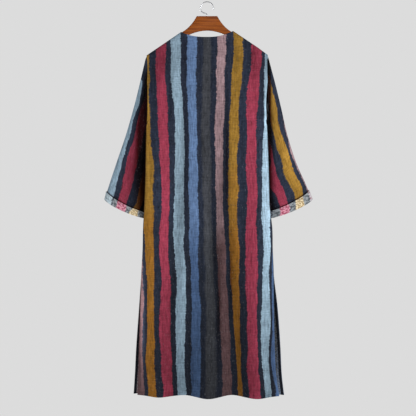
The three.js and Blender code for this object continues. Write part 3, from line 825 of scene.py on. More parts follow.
def build_panel(name, panel, places, coordinates, seen_from):
    level, across = np.meshgrid(LEVELS, ACROSS, indexing="ij")
    grid = panel_points(panel, level, across)
    normals = grid_normals(grid)
    facing = np.sign(normals[len(LEVELS) // 2, len(ACROSS) // 2, 1]) * panel["out"]
    normals = normals * facing
    half = CLOTH / 2 + turning(level - HEM_LEVEL, HEM_DEPTH)
    on_side = (np.abs(across) == 1) & (level <= UNDERARM_LEVEL) & (level >= SLIT_TOP)
    halves = normals * half[..., None]
    sideways = np.zeros_like(halves)
    sideways[..., 0] = np.clip(half / np.where(normals[..., 0] == 0, 1, normals[..., 0]), -0.9, 0.9)
    halves = np.where(on_side[..., None], sideways, halves)
    x, z = as_seen(grid) if seen_from else (grid[..., 0], grid[..., 2])
    u = across_cloth(x + (CHART_ASIDE if seen_from else 0), z, BACK_LEVELS, places, coordinates)
    v = -grid[..., 2]
    uv = corners(np.stack([u, v], -1) * MM)
    light = panel_light(BACK_SHADE if seen_from else FRONT_SHADE, grid[..., 0], grid[..., 2])
    made = wall(name, grid, halves, facing, uv, [CLOTH_RIGHT, CLOTH_WRONG], light=light)
    return made, grid, normals, half


back_cloth, back_grid, back_normals, back_half = build_panel(
    "back_panel_cloth", BACK, BACK_PLACES, BACK_COORDINATES, True)

# The front is cut from the same cloth, and its stripes hang almost straight.
FRONT_MARKS = range(-330, 361, 69)
FRONT_LEANS = (0.8, -0.6, 0.5, -0.9, 0.7, -0.4, 0.9, -0.7, 0.6, -0.5, 0.3)
FRONT_PLACES = [
    [x + lean * k + 3 * np.sin(1.3 * k + x) for k in range(len(BACK_LEVELS))]
    for x, lean in zip(FRONT_MARKS, FRONT_LEANS)
]
FRONT_COORDINATES = [x * 1.03 + 207 for x in FRONT_MARKS]
front_cloth, front_grid, front_normals, front_half = build_panel(
    "front_panel_cloth", FRONT, FRONT_PLACES, FRONT_COORDINATES, False)
for piece in (back_cloth, front_cloth):
    print(piece.name, len(piece.data.polygons), "faces")

# %% [markdown]
# ## The sleeves
#
# Each sleeve is a flat tube set into the armhole. Its upper edge runs down from the shoulder to the cuff
# and its lower edge from the underarm. The table gives both edges at eight sections, and how far the tube
# rounds out to the back and the front between them. Creases run from the armhole along the sleeve.

# %% The sleeves' sections
SLEEVE_COLUMNS = ["outer_z", "outer_left", "outer_right", "inner_z", "inner_left", "inner_right",
                  "outer_y", "inner_y", "near", "far", "dip"]
SLEEVE_ROWS = [
    [-216, 232, 233, -470, 225, 227, 0, -5, 22, 24, 0],
    [-250, 240, 242, -488, 223, 224, 2, 2, 20, 25, 2],
    [-310, 254, 258, -520, 221, 219, 5, 19, 25, 28, 5],
    [-400, 277, 280, -570, 222, 215, 9, 34, 30, 30, 8],
    [-500, 306, 303, -630, 220, 215, 12, 44, 34, 30, 11],
    [-600, 340, 335, -700, 219, 216, 15, 50, 36, 30, 14],
    [-675, 365, 368, -760, 218, 217, 17, 53, 36, 29, 16],
    [-741, 386, 397, -811, 216, 218, 18, 55, 36, 28, 18],
]
SLEEVE = dict(zip(SLEEVE_COLUMNS, np.array(SLEEVE_ROWS, float).T))
SECTIONS = np.arange(8.0)
LAST_SECTION = 7
SLEEVE_PER_SECTION = 72  # about the length of the sleeve's outer edge between its last two sections
CUFF_OVERHANG = 1.6  # how far a cuff's fold hangs below the sleeve's end
SLEEVE_END = LAST_SECTION - CUFF_OVERHANG / SLEEVE_PER_SECTION

# section and share (0 at the upper edge, 1 at the lower) of each end of a crease, its width and its depth
SLEEVE_CREASES = [
    (0.1, 0.30, 3.2, 0.42, 0.050, 3.0),
    (0.0, 0.62, 4.4, 0.60, 0.060, -3.6),
    (0.6, 0.80, 5.6, 0.76, 0.055, 3.6),
    (2.2, 0.22, 6.8, 0.26, 0.050, -2.6),
    (1.2, 0.50, 6.9, 0.48, 0.055, 2.4),
    (3.0, 0.90, 6.9, 0.88, 0.050, -3.0),
    (0.2, 0.10, 2.2, 0.16, 0.040, -1.8),
    (4.6, 0.64, 6.9, 0.68, 0.045, -2.0),
]
UNDERARM_CREASES = [
    (0.0, 0.95, 2.4, 0.72, 0.045, 3.0),
    (0.1, 0.86, 2.0, 0.52, 0.045, -2.4),
]


def sleeve_section(column, row):
    return read(SECTIONS, SLEEVE[column], row)


def sleeve_points(side, row, share, outward):
    """Middle of a sleeve's cloth; outward is -1 on the back of the tube and 1 on the front."""
    sign = -1 if side == "left" else 1
    rounding = np.sqrt(np.clip(4 * share * (1 - share), 0, None))
    bulge = np.where(outward < 0, sleeve_section("near", row), sleeve_section("far", row)) * rounding
    for r0, s0, r1, s1, width, depth in SLEEVE_CREASES + UNDERARM_CREASES:
        along = (row - r0) / (r1 - r0)
        fade = ease(along / 0.25) * ease((1 - along) / 0.25)
        bulge = bulge + depth * fade * np.exp(-(((share - mix(s0, s1, along)) / width) ** 2)) * rounding
    lower = np.where(outward < 0, sleeve_section("dip", row) * rounding, 0)
    return np.stack([
        sign * mix(sleeve_section("outer_" + side, row), sleeve_section("inner_" + side, row), share),
        mix(sleeve_section("outer_y", row), sleeve_section("inner_y", row), share) + outward * bulge,
        mix(sleeve_section("outer_z", row), sleeve_section("inner_z", row), share) - lower,
    ], -1)


def armhole_ring(side, share, outward):
    """The sleeve's sewn end: it goes 3 mm under the edge of the panels, as a seam allowance does."""
    sign = -1 if side == "left" else 1
    level = SHOULDER_LEVEL + (UNDERARM_LEVEL - SHOULDER_LEVEL) * share

    def edge(at, across):
        across = np.full_like(at, sign * across)
        return np.where(outward[:, None] < 0, panel_points(BACK, at, across), panel_points(FRONT, at, across))

    point = edge(level, 1.0)
    below, above = np.maximum(level - 2, UNDERARM_LEVEL + 0.5), np.minimum(level + 2, SHOULDER_LEVEL - 0.5)
    along = unit(edge(below, 1.0) - edge(above, 1.0))
    out = point - edge(level, 0.96)
    out = unit(out - along * (out * along).sum(-1, keepdims=True))
    under = np.cross(out, along)
    under = under * np.sign((under * [0, 1, 0]).sum(-1, keepdims=True)) * -outward[:, None]
    moved = point - out * 3.0 + under * (1.5 * np.sin(np.pi * np.clip(share, 0, 1)))[:, None]
    moved = np.where((share < 1e-6)[:, None], point * [1, 0, 1] + np.array([sign * -1.5, 0, -2.2]), moved)
    return np.where((share > 1 - 1e-6)[:, None], point + np.array([sign * -2.0, 0, 1.5]), moved)


upper_edge = sleeve_points("left", SECTIONS, np.zeros(8), -np.ones(8))
edge_length = np.linalg.norm(np.diff(upper_edge, axis=0), axis=1).sum()
print("sleeve's length along its upper edge, mm:", round(float(edge_length)))

# %% [markdown]
# The sleeve's stripes run along it. The chart gives, from the upper edge to the lower, where the edges of
# the stripes lie on the back of each sleeve. The front of the tube carries on from the upper edge.

# %% Chart of the sleeves
LEFT_LEVELS = [-262, -286, -300, -356, -393, -453, -480, -543, -588, -630, -674, -704, -761, -790]
LEFT_MARKS = [
    [-262, -250, -239, -249, -256, -278, -284, -302, -311, -322, -336, -345, -358, -364],
    [-218, -219, -221, -227, -243, -262, -269, -286, -299, -304, -318, -323, -340, -348],
    [-184, -185, -186, -191, -206, -225, -231, -246, -256, -266, -276, -286, -303, -310],
    [-170, -170, -171, -174, -188, -204, -210, -218, -228, -239, -246, -253, -269, -294],
    [-136, -136, -137, -141, -154, -171, -174, -186, -197, -210, -216, -225, -246, -260],
]
LEFT_COORDINATES = [edges_of("pale_blue", 0)[0], edges_of("red", 0)[1], edges_of("red", 0)[0],
                    edges_of("mustard", 0)[1], edges_of("mustard", 0)[0]]
RIGHT_LEVELS = [-258, -284, -307, -352, -393, -438, -480, -521, -566, -607, -652, -693, -727, -770]
RIGHT_MARKS = [
    [156, 160, 162, 164, 169, 175, 184, 198, 213, 223, 209, 218, 232, 238],
    [173, 177, 179, 181, 186, 192, 201, 215, 230, 240, 226, 235, 256, 274],
    [187, 191, 194, 198, 205, 211, 220, 233, 245, 252, 265, 281, 294, 308],
    [201, 225, 230, 229, 232, 235, 245, 256, 270, 282, 292, 312, 326, 332],
    [217, 235, 240, 248, 259, 265, 276, 288, 304, 317, 333, 353, 358, 368],
    [275, 265, 264, 272, 282, 287, 292, 303, 312, 329, 348, 368, 377, 388],
]
RIGHT_COORDINATES = [edges_of("pale_blue", 0)[0], edges_of("red", 0)[1], edges_of("red", 0)[0],
                     edges_of("mustard", 0)[1], edges_of("mustard", 0)[0], edges_of("mauve", -1)[1]]


def sleeve_coordinate(side, points, rim, outward):
    """The cloth's coordinate on a sleeve; rim holds the points of the upper edge in the same rows."""
    if side == "left":
        levels, marks, values = LEFT_LEVELS, LEFT_MARKS, LEFT_COORDINATES
    else:
        levels, marks, values = RIGHT_LEVELS, RIGHT_MARKS, RIGHT_COORDINATES
    seen_x, seen_z = as_seen(points)
    rim_x, rim_z = as_seen(rim)
    here = across_cloth(seen_x, seen_z, levels, marks, values)
    at_rim = across_cloth(rim_x, rim_z, levels, marks, values)
    return np.where(outward < 0, here, 2 * at_rim - here)


# %% Build the sleeves
CUFF_DEPTH = {"left": 31.0, "right": 36.0}
TURN = np.linspace(0, np.pi, 47)
RING_SHARE = np.concatenate([(1 - np.cos(TURN)) / 2, (1 - np.cos(TURN[1:-1][::-1])) / 2])
RING_OUT = np.concatenate([-np.ones(len(TURN)), np.ones(len(TURN) - 2)])


def ring_uv(side, grid, start):
    """UVs for each face of a tube: its seam is at the lower edge, and the chart changes over at the upper."""
    wide = grid.shape[1]
    rim = np.repeat(grid[:, :1], wide, 1)
    back = sleeve_coordinate(side, grid, rim, -1)
    front = sleeve_coordinate(side, grid, rim, 1)
    v = start + np.concatenate([[0], np.cumsum(np.linalg.norm(np.diff(grid[:, 0], axis=0), axis=1))])
    down = np.repeat(v[:, None], wide, 1)
    is_back = np.arange(wide) < len(TURN) - 1
    uv = np.empty((grid.shape[0] - 1, wide, 4, 2))
    for j in range(wide):
        k = (j + 1) % wide
        u = back if is_back[j] else front
        uv[:, j, :, 0] = np.stack([u[:-1, j], u[:-1, k], u[1:, k], u[1:, j]], -1)
        uv[:, j, :, 1] = np.stack([down[:-1, j], down[:-1, k], down[1:, k], down[1:, j]], -1)
    return uv * MM


def ring_normals(grid):
    normals = grid_normals(grid, closed=True)
    centre = grid[-1].mean(0)
    facing = np.sign(((grid[-1] - centre) * normals[-1]).sum())
    return normals * facing, facing


# sections, then where the shade starts and where it is full (as shares round the back), and how deep it is
SLEEVE_SHADE = {
    "left": ([0, 2, 3, 4, 4.6, 5.6, 7], [0, 0, 0.03, 0.19, 0.17, 0.30, 0.38],
             [0.34, 0.38, 0.42, 0.60, 0.68, 0.86, 0.90], [0.95, 0.95, 0.93, 0.96, 0.89, 0.89, 0.93]),
    "right": ([0, 0.9, 1.3, 1.6, 2, 2.5, 3, 4, 4.7, 5.5, 7],
              [-0.5, -0.2, 0, 0.12, 0.20, 0.25, 0.30, 0.47, 0.52, 0.60, 0.60],
              [0.1, 0.25, 0.40, 0.50, 0.58, 0.61, 0.64, 0.80, 0.84, 0.90, 0.84],
              [0.95, 0.95, 0.96, 0.97, 0.97, 0.97, 0.97, 0.96, 0.96, 0.96, 0.95]),
}


def sleeve_light(side, row):
    """Painted light on a sleeve's ring: painted shade on the cloth next to the body, a painted highlight
    along the right sleeve's ridge and a painted shadow line above the cuff.
    """
    back = RING_OUT < 0
    rows, start, full, deep = SLEEVE_SHADE[side]
    start, full, deep = (np.interp(row, rows, values) for values in (start, full, deep))
    light = 1 - deep * ease((RING_SHARE - start) / (full - start))
    cuff_top = LAST_SECTION - CUFF_DEPTH[side] / SLEEVE_PER_SECTION
    # painted light: the left sleeve's outer edge a little brighter and the cloth beyond it darker
    if side == "left":
        light = light * (1.12 - 0.33 * ease((RING_SHARE - 0.1) / 0.2))
    else:
        # painted highlight along a ridge near the right sleeve's upper edge
        on_ridge = np.exp(-(((RING_SHARE - 0.17) / 0.10) ** 2) - ((row - 4.6) / 1.0) ** 2)
        light = light * (1.04 + 0.5 * on_ridge)
    # painted shadow: a dark line on the sleeve just above the cuff's top edge
    light = light * (1 - 0.96 * np.exp(-(((row - cuff_top + 0.03) / 0.05) ** 2)))
    return np.where(back, light, np.maximum(light, 0.6))


def build_sleeve(side):
    first = armhole_ring(side, RING_SHARE, RING_OUT)
    rows = np.linspace(0, SLEEVE_END, 96)
    start = sleeve_points(side, np.zeros_like(RING_SHARE), RING_SHARE, RING_OUT)
    rings = [mix(first, start, share) for share in (0, 0.2, 0.4, 0.6, 0.8)]
    rings += [sleeve_points(side, np.full_like(RING_SHARE, row), RING_SHARE, RING_OUT) for row in rows]
    grid = np.stack(rings)
    normals, facing = ring_normals(grid)
    light = np.stack([sleeve_light(side, row) for row in np.concatenate([np.zeros(5), rows])])
    made = wall(f"sleeve_{side}_cloth", grid, normals * CLOTH / 2, facing, ring_uv(side, grid, 0),
                [CLOTH_RIGHT, CLOTH_WRONG], closed=True, light=light)
    return made, grid, normals


sleeve_left, left_grid, left_normals = build_sleeve("left")
sleeve_right, right_grid, right_normals = build_sleeve("right")
for piece in (sleeve_left, sleeve_right):
    print(piece.name, len(piece.data.polygons), "faces")

# %% [markdown]
# ## The turned-up cuffs
#
# Each sleeve's end is turned up once and pressed, so the pale wrong side of the cloth shows as a band. The
# band is folded round the sleeve's end, lies a little off it, and gapes at its top edge, which casts a dark
# line on the sleeve, deepened by a painted shadow in the sleeve's light. Its bands of colour carry on from
# the sleeve's stripes.

# %% Build the cuffs


def build_cuff(side):
    steps = np.array([0, 0.03, 0.08, 0.16, 0.26, 0.38, 0.5, 0.62, 0.74, 0.84, 0.92, 0.97, 1.0])
    rows = LAST_SECTION - (1 - steps) * CUFF_DEPTH[side] / SLEEVE_PER_SECTION
    under = np.stack([
        sleeve_points(side, np.full_like(RING_SHARE, row), RING_SHARE, RING_OUT) for row in rows
    ])
    normals, facing = ring_normals(under)
    gape = 2.2 * (1 - steps[:, None]) ** 1.5 * (1 + 0.3 * np.sin(7 * np.pi * RING_SHARE)[None])
    grid = under + normals * (CLOTH + 0.55 + gape)[..., None]
    edge = steps * CUFF_DEPTH[side]
    half = CLOTH / 2 + turning(edge, 3.2, 0.3, 0.25)
    half = half * np.where(steps > 0.9, 1.15, 1.0)
    made = wall(f"cuff_{side}_band", grid, normals * half[:, None, None], facing, ring_uv(side, under, 560),
                [CLOTH_WRONG, CLOTH_RIGHT], closed=True)
    return made, grid, normals


cuff_left, cuff_left_grid, cuff_left_normals = build_cuff("left")
cuff_right, cuff_right_grid, cuff_right_normals = build_cuff("right")
print("cuffs:", cuff_left.name, cuff_right.name)

# %% [markdown]
# ## The slits' turned edges
#
# Below the slit's top the front panel's edges are turned in and stitched down. Seen from behind they show
# past the narrower back panel as a dark strip. The strip lies on the inside of the front panel.

# %% Build the slit facings


def build_facing(side):
    rows = np.where(LEVELS < -1060)[0]
    distance = np.abs(ACROSS + 1) if side == "left" else np.abs(ACROSS - 1)
    columns = np.where(distance < 0.040)[0]
    grid = front_grid[np.ix_(rows, columns)]
    normals = front_normals[np.ix_(rows, columns)]
    grid = grid - normals * (CLOTH / 2 + 0.45 + 0.5)
    u = 302 + 0.8 * (grid[..., 0] - grid[..., 0].mean(1, keepdims=True))
    uv = corners(np.stack([u, -grid[..., 2]], -1) * MM)
    facing = np.sign((grid_normals(grid) * normals).sum())
    made = wall(f"slit_facing_{side}_strip", grid, normals * 0.5, facing, uv, [CLOTH_RIGHT, CLOTH_RIGHT])
    return made


facing_left, facing_right = build_facing("left"), build_facing("right")
print("facings:", facing_left.name, facing_right.name)

# %% [markdown]
# ## Sewing
#
# Lockstitches show on the outside as a row of short threads, each sinking into the cloth at both ends. One
# mesh holds a whole row. Each stitch is a small six-sided spindle laid along the cloth's surface.

# %% Stitches


def sample(grid, row, column):
    """A grid's value between its points, for arrays of rows and columns."""
    i = np.clip(np.floor(row).astype(int), 0, grid.shape[0] - 2)
    j = np.clip(np.floor(column).astype(int), 0, grid.shape[1] - 2)
    a, b = (row - i)[:, None], (column - j)[:, None]
    upper = mix(grid[i, j], grid[i, j + 1], b)
    return mix(upper, mix(grid[i + 1, j], grid[i + 1, j + 1], b), a)


def thread_material():
    nodes = Nodes("sewing_thread")
    u, v = nodes.coordinates()
    twist = nodes.wave(nodes.math("ADD", u, v), 0.0006)
    colour = nodes.blend(twist, (*linear(30, 33, 45), 1), (*linear(52, 56, 70), 1))
    nodes.link(nodes.shader.inputs["Base Color"], colour)
    nodes.bump(twist, 0.4, 0.00008)
    nodes.shader.inputs["Roughness"].default_value = 0.7
    return nodes.material


THREAD_MATERIAL = thread_material()


def stitch_row(name, line, normals, length=2.5, gap=0.9, radius=0.28):
    """Stitches along a line of points, in millimetres, that lies on the cloth's surface."""
    steps = np.concatenate([[0], np.cumsum(np.linalg.norm(np.diff(line, axis=0), axis=1))])
    count = int(steps[-1] // (length + gap))
    starts = np.arange(count) * (length + gap) + gap / 2
    shares, widths = [0, 0.12, 0.5, 0.88, 1], [0.35, 0.9, 1.0, 0.9, 0.35]
    lifts = [-0.25, 0.05, 0.16, 0.05, -0.25]

    def at(values, place):
        return np.stack([np.interp(place, steps, values[:, c]) for c in range(3)], -1)

    rings = []
    for share, width, lift in zip(shares, widths, lifts):
        place = starts + share * length
        centre, up = at(line, place), unit(at(normals, place))
        forward = unit(at(line, place + 0.3) - at(line, place - 0.3))
        side = unit(np.cross(forward, up))
        angles = np.arange(6) * np.pi / 3
        ring = (centre + up * lift)[:, None] + radius * width * (
            np.cos(angles)[None, :, None] * side[:, None] + np.sin(angles)[None, :, None] * up[:, None])
        rings.append(ring)
    points = np.stack(rings, 1)
    s, r, k = np.meshgrid(np.arange(count), np.arange(4), np.arange(6), indexing="ij")
    base, after = s * 30 + r * 6, (k + 1) % 6
    faces = np.stack([base + k, base + after, base + 6 + after, base + 6 + k], -1).reshape(-1, 4)
    uv = np.stack([np.stack([r * 0.6, k * 0.3], -1)] * 4, -2).reshape(-1, 4, 2) * MM
    corner_step = np.array([[0, 0], [0, 0.3], [0.6, 0.3], [0.6, 0]]) * MM
    points = points.reshape(-1, 3)
    return mesh_object(name, points, faces, uv + corner_step, np.zeros(len(faces)), [THREAD_MATERIAL])


def row_of(level):
    return np.interp(-level, -LEVELS, np.arange(len(LEVELS)))


def column_of(across):
    return np.interp(across, ACROSS, np.arange(len(ACROSS)))


def panel_line(grid, normals, half, level, across):
    rows, columns = row_of(level), column_of(across)
    up = sample(normals, rows, columns)
    thick = sample(half[..., None], rows, columns)
    return sample(grid, rows, columns) + up * thick, up


stitches = {}
sweep = np.linspace(-0.985, 0.985, 700)
for label, grid, normals, half in (
    ("back", back_grid, back_normals, back_half), ("front", front_grid, front_normals, front_half)
):
    line, up = panel_line(grid, normals, half, np.full_like(sweep, HEM_LEVEL + HEM_DEPTH), sweep)
    stitches[label] = [stitch_row(f"hem_stitches_{label}", line, up)]
    neck = np.linspace(-0.425, 0.425, 300)
    line, up = panel_line(grid, normals, half, np.full_like(neck, SHOULDER_LEVEL - 6.5), neck)
    stitches[label].append(stitch_row(f"neck_stitches_{label}", line, up))
    for side, sign in (("left", -1), ("right", 1)):
        down = np.linspace(SLIT_TOP - 8, HEM_LEVEL + 1, 300)
        line, up = panel_line(grid, normals, half, down, np.full_like(down, sign * 0.965))
        stitches[label].append(stitch_row(f"slit_stitches_{label}_{side}", line, up))
        around = np.linspace(-205, UNDERARM_LEVEL + 6, 240)
        line, up = panel_line(grid, normals, half, around, np.full_like(around, sign * 0.972))
        stitches[label].append(stitch_row(f"armhole_stitches_{label}_{side}", line, up))
print("rows of stitches on the panels:", sum(len(rows) for rows in stitches.values()))

# %% Stitches round the cuffs
cuff_stitches = {}
for side, grid, normals in (
    ("left", cuff_left_grid, cuff_left_normals), ("right", cuff_right_grid, cuff_right_normals)
):
    around = np.linspace(0.02, grid.shape[1] - 1.02, 500)
    down = np.full_like(around, 3.0)
    up = sample(normals, down, around)
    line = sample(grid, down, around) + up * (CLOTH / 2)
    cuff_stitches[side] = stitch_row(f"cuff_stitches_{side}", line, up)
print("cuff stitches:", [piece.name for piece in cuff_stitches.values()])

# %% [markdown]
# ## The wooden hanger
#
# The hanger is cut from flat stock: a flat top under the hook, arms that slope to rounded tips and an
# arched underside, with every edge rounded over. Most of it is inside the garment. The varnished wood is a
# warm reddish brown whose grain runs along the arms.

# %% Hanger outline


def bezier(p0, p1, p2, p3, count):
    t = np.linspace(0, 1, count, endpoint=False)[:, None]
    p0, p1, p2, p3 = (np.array(p, float) for p in (p0, p1, p2, p3))
    return (1 - t) ** 3 * p0 + 3 * (1 - t) ** 2 * t * p1 + 3 * (1 - t) * t * t * p2 + t ** 3 * p3


def quadratic(p0, p1, p2, count):
    p0, p1, p2 = (np.array(p, float) for p in (p0, p1, p2))
    return bezier(p0, p0 + (p1 - p0) * 2 / 3, p2 + (p1 - p2) * 2 / 3, p2, count)


def arm_top(x):
    return float(shoulder_line(np.array(float(x)))) - 3


def hanger_outline():
    """Right half from the flat's middle round to the arch's middle, then mirrored."""
    start, tip = (39, -52), (219 - 8, arm_top(211))
    half = np.concatenate([
        np.linspace((0, -52), start, 8, endpoint=False),
        bezier(start, (46, -66), (62, -92), (87.5, arm_top(87.5)), 22),
        np.linspace((87.5, arm_top(87.5)), tip, 22, endpoint=False),
        quadratic(tip, (221, arm_top(220)), (218, -213), 8),
        quadratic((218, -213), (213, -219), (203, -212), 8),
        bezier((203, -212), (170, -189), (120, -154), (96, -138), 18),
        bezier((96, -138), (66, -119), (34, -107), (0, -106.5), 18),
        [(0, -106.5)],
    ])
    return np.concatenate([half, half[1:-1][::-1] * [-1, 1]])


def inset(outline, amount):
    """The outline moved in by an amount, square to its edges."""
    before, after = np.roll(outline, 1, 0), np.roll(outline, -1, 0)
    along = unit(after - before)
    inward = np.stack([along[:, 1], -along[:, 0]], -1)
    return outline + inward * amount


outline = hanger_outline()
outline_steps = np.linalg.norm(np.diff(outline, axis=0), axis=1)
print("outline points:", len(outline), "shortest step, mm:", round(float(outline_steps.min()), 2))

# %% Hanger wood


def wood_material():
    nodes = Nodes("hanger_wood")
    coordinates = nodes.tree.nodes.new("ShaderNodeTexCoord")
    split = nodes.tree.nodes.new("ShaderNodeSeparateXYZ")
    nodes.link(split.inputs[0], coordinates.outputs["Object"])
    x, y, z = split.outputs
    depth = nodes.math("ADD", z, nodes.math("MULTIPLY", y, 0.6))
    bands = nodes.noise(x, depth, 0.11, 0.006, 2.0, 3.0)
    pores = nodes.noise(x, depth, 0.02, 0.0011, 9.0, 2.0)
    broad = nodes.noise(x, depth, 0.05, 0.03, 15.0, 2.0)
    colour = nodes.ramp(bands, [
        (0.30, linear(104, 47, 11)), (0.46, linear(134, 68, 19)),
        (0.58, linear(150, 80, 24)), (0.72, linear(118, 57, 14))])
    colour = nodes.scale(colour, nodes.math("ADD", nodes.math("MULTIPLY", broad, 0.5), 0.75))
    dark = nodes.math("MULTIPLY", nodes.between(pores, 0.60, 0.72), 0.5)
    colour = nodes.blend(dark, colour, (*linear(84, 38, 18), 1))
    nodes.link(nodes.shader.inputs["Base Color"], colour)
    nodes.bump(pores, 0.25, 0.0002)
    nodes.shader.inputs["Roughness"].default_value = 0.5
    nodes.shader.inputs["Specular IOR Level"].default_value = 0.15
    nodes.shader.inputs["Coat Weight"].default_value = 0.02
    nodes.shader.inputs["Coat Roughness"].default_value = 0.2
    return nodes.material


WOOD = wood_material()

# %% Build the hanger


HANGER_THICK, HANGER_EDGE = 12.6, 4.0


def build_hanger():
    """Rings of the outline from back to front, pulled in round both edges, and two flat faces."""
    bends = np.linspace(0, np.pi / 2, 6)
    face = -HANGER_THICK / 2
    profile = [(face + HANGER_EDGE * (1 - np.sin(a)), HANGER_EDGE * (1 - np.cos(a))) for a in bends[::-1]]
    profile += [(-y, pull) for y, pull in profile[::-1]]
    rings = []
    for y, pull in profile:
        flat = inset(outline, pull)
        rings.append(np.stack([flat[:, 0], np.full(len(flat), y), flat[:, 1]], -1))
    count = len(outline)
    points = np.concatenate(rings)
    faces = []
    for r in range(len(rings) - 1):
        for k in range(count):
            n = (k + 1) % count
            faces.append((r * count + k, (r + 1) * count + k, (r + 1) * count + n, r * count + n))
    faces.append(tuple(range(count)))
    faces.append(tuple((len(rings) - 1) * count + k for k in reversed(range(count))))
    mesh = bpy.data.meshes.new("hanger_body")
    mesh.from_pydata([tuple(p * MM) for p in points], [], faces)
    mesh.polygons.foreach_set("use_smooth", np.ones(len(mesh.polygons), bool))
    mesh.materials.append(WOOD)
    made = bpy.data.objects.new("hanger_body", mesh)
    bpy.context.scene.collection.objects.link(made)
    return made


hanger = build_hanger()
print("hanger:", len(hanger.data.polygons), "faces")

# %% [markdown]
# ## The hook
#
# The hook is a length of plated wire: a round that sits over the rail, then a short stem into the wood. It
# is a tube drawn along the wire's line.

# %% Build the hook


def metal_material():
    nodes = Nodes("hook_metal")
    coordinates = nodes.tree.nodes.new("ShaderNodeTexCoord")
    split = nodes.tree.nodes.new("ShaderNodeSeparateXYZ")
    nodes.link(split.inputs[0], coordinates.outputs["Object"])
    drawn = nodes.noise(split.outputs[0], split.outputs[2], 0.004, 0.004, 4.0, 3.0)
    colour = nodes.blend(drawn, (0.78, 0.79, 0.81, 1), (0.62, 0.63, 0.66, 1))
    nodes.link(nodes.shader.inputs["Base Color"], colour)
    nodes.bump(drawn, 0.08, 0.0001)
    nodes.shader.inputs["Metallic"].default_value = 1.0
    nodes.shader.inputs["Roughness"].default_value = 0.18
    return nodes.material


def tube(name, line, radius, material, sides=20):
    """A round tube along a line of points in the plane y = 0, with rounded ends."""
    forward = unit(np.gradient(line, axis=0))
    side = np.tile([0.0, 1.0, 0.0], (len(line), 1))
    up = unit(np.cross(forward, side))
    steps = np.concatenate([[0], np.cumsum(np.linalg.norm(np.diff(line, axis=0), axis=1))])
    ends = np.minimum(steps, steps[-1] - steps)
    width = radius * np.sqrt(np.clip(1 - (1 - np.minimum(ends / radius, 1)) ** 2, 0.002, 1))
    angles = np.arange(sides) * 2 * np.pi / sides
    rings = line[:, None] + width[:, None, None] * (
        np.cos(angles)[None, :, None] * side[:, None] + np.sin(angles)[None, :, None] * up[:, None])
    i, k = np.meshgrid(np.arange(len(line) - 1), np.arange(sides), indexing="ij")
    n = (k + 1) % sides
    ring, next_ring = i * sides, (i + 1) * sides
    faces = np.stack([ring + k, ring + n, next_ring + n, next_ring + k], -1).reshape(-1, 4)
    points = rings.reshape(-1, 3)
    uv = np.zeros((len(faces), 4, 2))
    return mesh_object(name, points, faces, uv, np.zeros(len(faces)), [material])


def smooth_line(points, count):
    """A smooth line through points, closely spaced."""
    points = np.array(points, float)
    place = np.concatenate([[0], np.cumsum(np.linalg.norm(np.diff(points, axis=0), axis=1))])
    at = np.linspace(0, place[-1], count)
    return np.stack([read(place, points[:, c], at) for c in range(3)], -1)


HOOK_WIRE, HOOK_LOOP = 3.8, 24.5
angles = np.radians([-12, 10, 40, 65, 90, 115, 140, 160, 180, 206])
loop = [(HOOK_LOOP * np.cos(a), 0, HOOK_WIRE / 2 - HOOK_LOOP + HOOK_LOOP * np.sin(a)) for a in angles]
stem = [(-13, 0, -39.2), (-4, 0, -42.8), (-0.5, 0, -47), (0, 0, -53), (0, 0, -76)]
hook_line = smooth_line(loop + stem, 150)
dense_start = mix(hook_line[:1], hook_line[1:2], np.array([0, 0.1, 0.25, 0.5])[:, None])
hook_line = np.concatenate([dense_start, hook_line[1:]])
hook = tube("hook_wire", hook_line, HOOK_WIRE / 2, metal_material())
print("hook:", len(hook.data.polygons), "faces")

# %% [markdown]
# ## What stands for what
#
# Every new piece takes the place of one piece of the frame, which is hidden, and is joined to the frame's
# root. The list also gives each piece's finish by name. The panels were cut from two lengths of cloth, with
# shaped armholes and neckline, and the sleeves from trapezes, folded in two; the area of one layer of each
# cloth piece is printed.

# %% Join the pieces to the frame
PIECES = [
    (back_cloth, "back_panel", "striped_cloth"),
    (front_cloth, "front_panel", "striped_cloth"),
    (sleeve_left, "sleeve_left", "striped_cloth"),
    (sleeve_right, "sleeve_right", "striped_cloth"),
    (cuff_left, "cuff_left", "cloth_wrong_side"),
    (cuff_right, "cuff_right", "cloth_wrong_side"),
    (facing_left, "slit_facing_left", "turned_edge"),
    (facing_right, "slit_facing_right", "turned_edge"),
    (hanger, "hanger", "hanger_wood"),
    (hook, "hanger_hook", "hook_metal"),
]
for piece, node, slot in PIECES:
    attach(piece, "root")
    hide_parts(node)
for rows in (*stitches.values(), cuff_stitches.values()):
    for piece in rows:
        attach(piece, "root")


def outer_area(piece):
    """Area of one layer of a cloth piece, in square metres."""
    return sum(face.area for face in piece.data.polygons) / 2


for piece, _, _ in PIECES[:8]:
    print(piece.name, "area of one layer:", round(outer_area(piece), 4))

# %% [markdown]
# ## Light and camera
#
# A garment is shown against a plain pale ground in soft light from all round, with a larger, brighter
# source to one side so that the folds read. The camera looks straight at the middle of the back from 6 m,
# through a long lens.

# %% Set the scene


def add_light(name, place, aim, size, energy):
    data = bpy.data.lights.new(name, "AREA")
    data.shape, data.size, data.size_y, data.energy = "RECTANGLE", size[0], size[1], energy
    light = bpy.data.objects.new(name, data)
    light.location = place
    direction = np.array(aim) - np.array(place)
    light.rotation_euler = Vector(direction).to_track_quat("-Z", "Y").to_euler()
    bpy.context.scene.collection.objects.link(light)
    return light


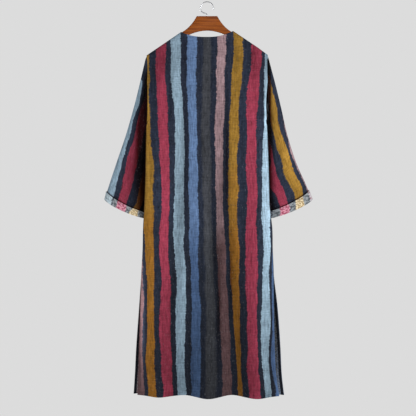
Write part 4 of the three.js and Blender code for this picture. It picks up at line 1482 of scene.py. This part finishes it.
add_light("key", (1.5, -2.2, -0.35), (0, 0, -0.65), (1.3, 1.5), 50)
add_light("fill", (-2.0, -2.4, -0.3), (0, 0, -0.7), (1.6, 1.8), 19)
add_light("far side", (-0.9, 2.8, -0.2), (0, 0, -0.7), (1.6, 1.8), 44)

# The ground behind the garment is pale, and lights it less than it shows, as a lit paper ground would.
world = bpy.data.worlds.new("studio")
world.use_nodes = True
GROUND, AMBIENT = 0.716, 0.26
tree = world.node_tree
shown, lit = tree.nodes["Background"], tree.nodes.new("ShaderNodeBackground")
shown.inputs[0].default_value = (GROUND, GROUND, GROUND, 1)
lit.inputs[0].default_value = (AMBIENT, AMBIENT, AMBIENT, 1)
ray, either = tree.nodes.new("ShaderNodeLightPath"), tree.nodes.new("ShaderNodeMixShader")
tree.links.new(ray.outputs["Is Camera Ray"], either.inputs[0])
tree.links.new(lit.outputs[0], either.inputs[1])
tree.links.new(shown.outputs[0], either.inputs[2])
tree.links.new(either.outputs[0], tree.nodes["World Output"].inputs[0])
bpy.context.scene.world = world

floor_mesh = bpy.data.meshes.new("floor")
floor_mesh.from_pydata([(-3, -3, -2.3), (3, -3, -2.3), (3, 2.4, -2.3), (-3, 2.4, -2.3)], [], [(0, 1, 2, 3)])
floor = bpy.data.objects.new("floor", floor_mesh)
bpy.context.scene.collection.objects.link(floor)
floor_nodes = Nodes("pale_floor")
floor_nodes.shader.inputs["Base Color"].default_value = (0.8, 0.8, 0.8, 1)
floor_nodes.shader.inputs["Roughness"].default_value = 0.9
floor_nodes.shader.inputs["Emission Color"].default_value = (1, 1, 1, 1)
floor_nodes.shader.inputs["Emission Strength"].default_value = 0.3
floor_mesh.materials.append(floor_nodes.material)

camera_data = bpy.data.cameras.new("camera")
camera_data.sensor_width = 36
camera_data.lens = 36 * (EYE_BACK + CHART_PLANE) / 1560
camera = bpy.data.objects.new("camera", camera_data)
camera.location = (EYE_ASIDE * MM, -EYE_BACK * MM, EYE_LEVEL * MM)
camera.rotation_euler = (np.pi / 2, 0, 0)
bpy.context.scene.collection.objects.link(camera)
bpy.context.scene.camera = camera
bpy.context.scene.view_settings.view_transform = "Standard"
print("camera lens, mm:", round(camera_data.lens, 1))
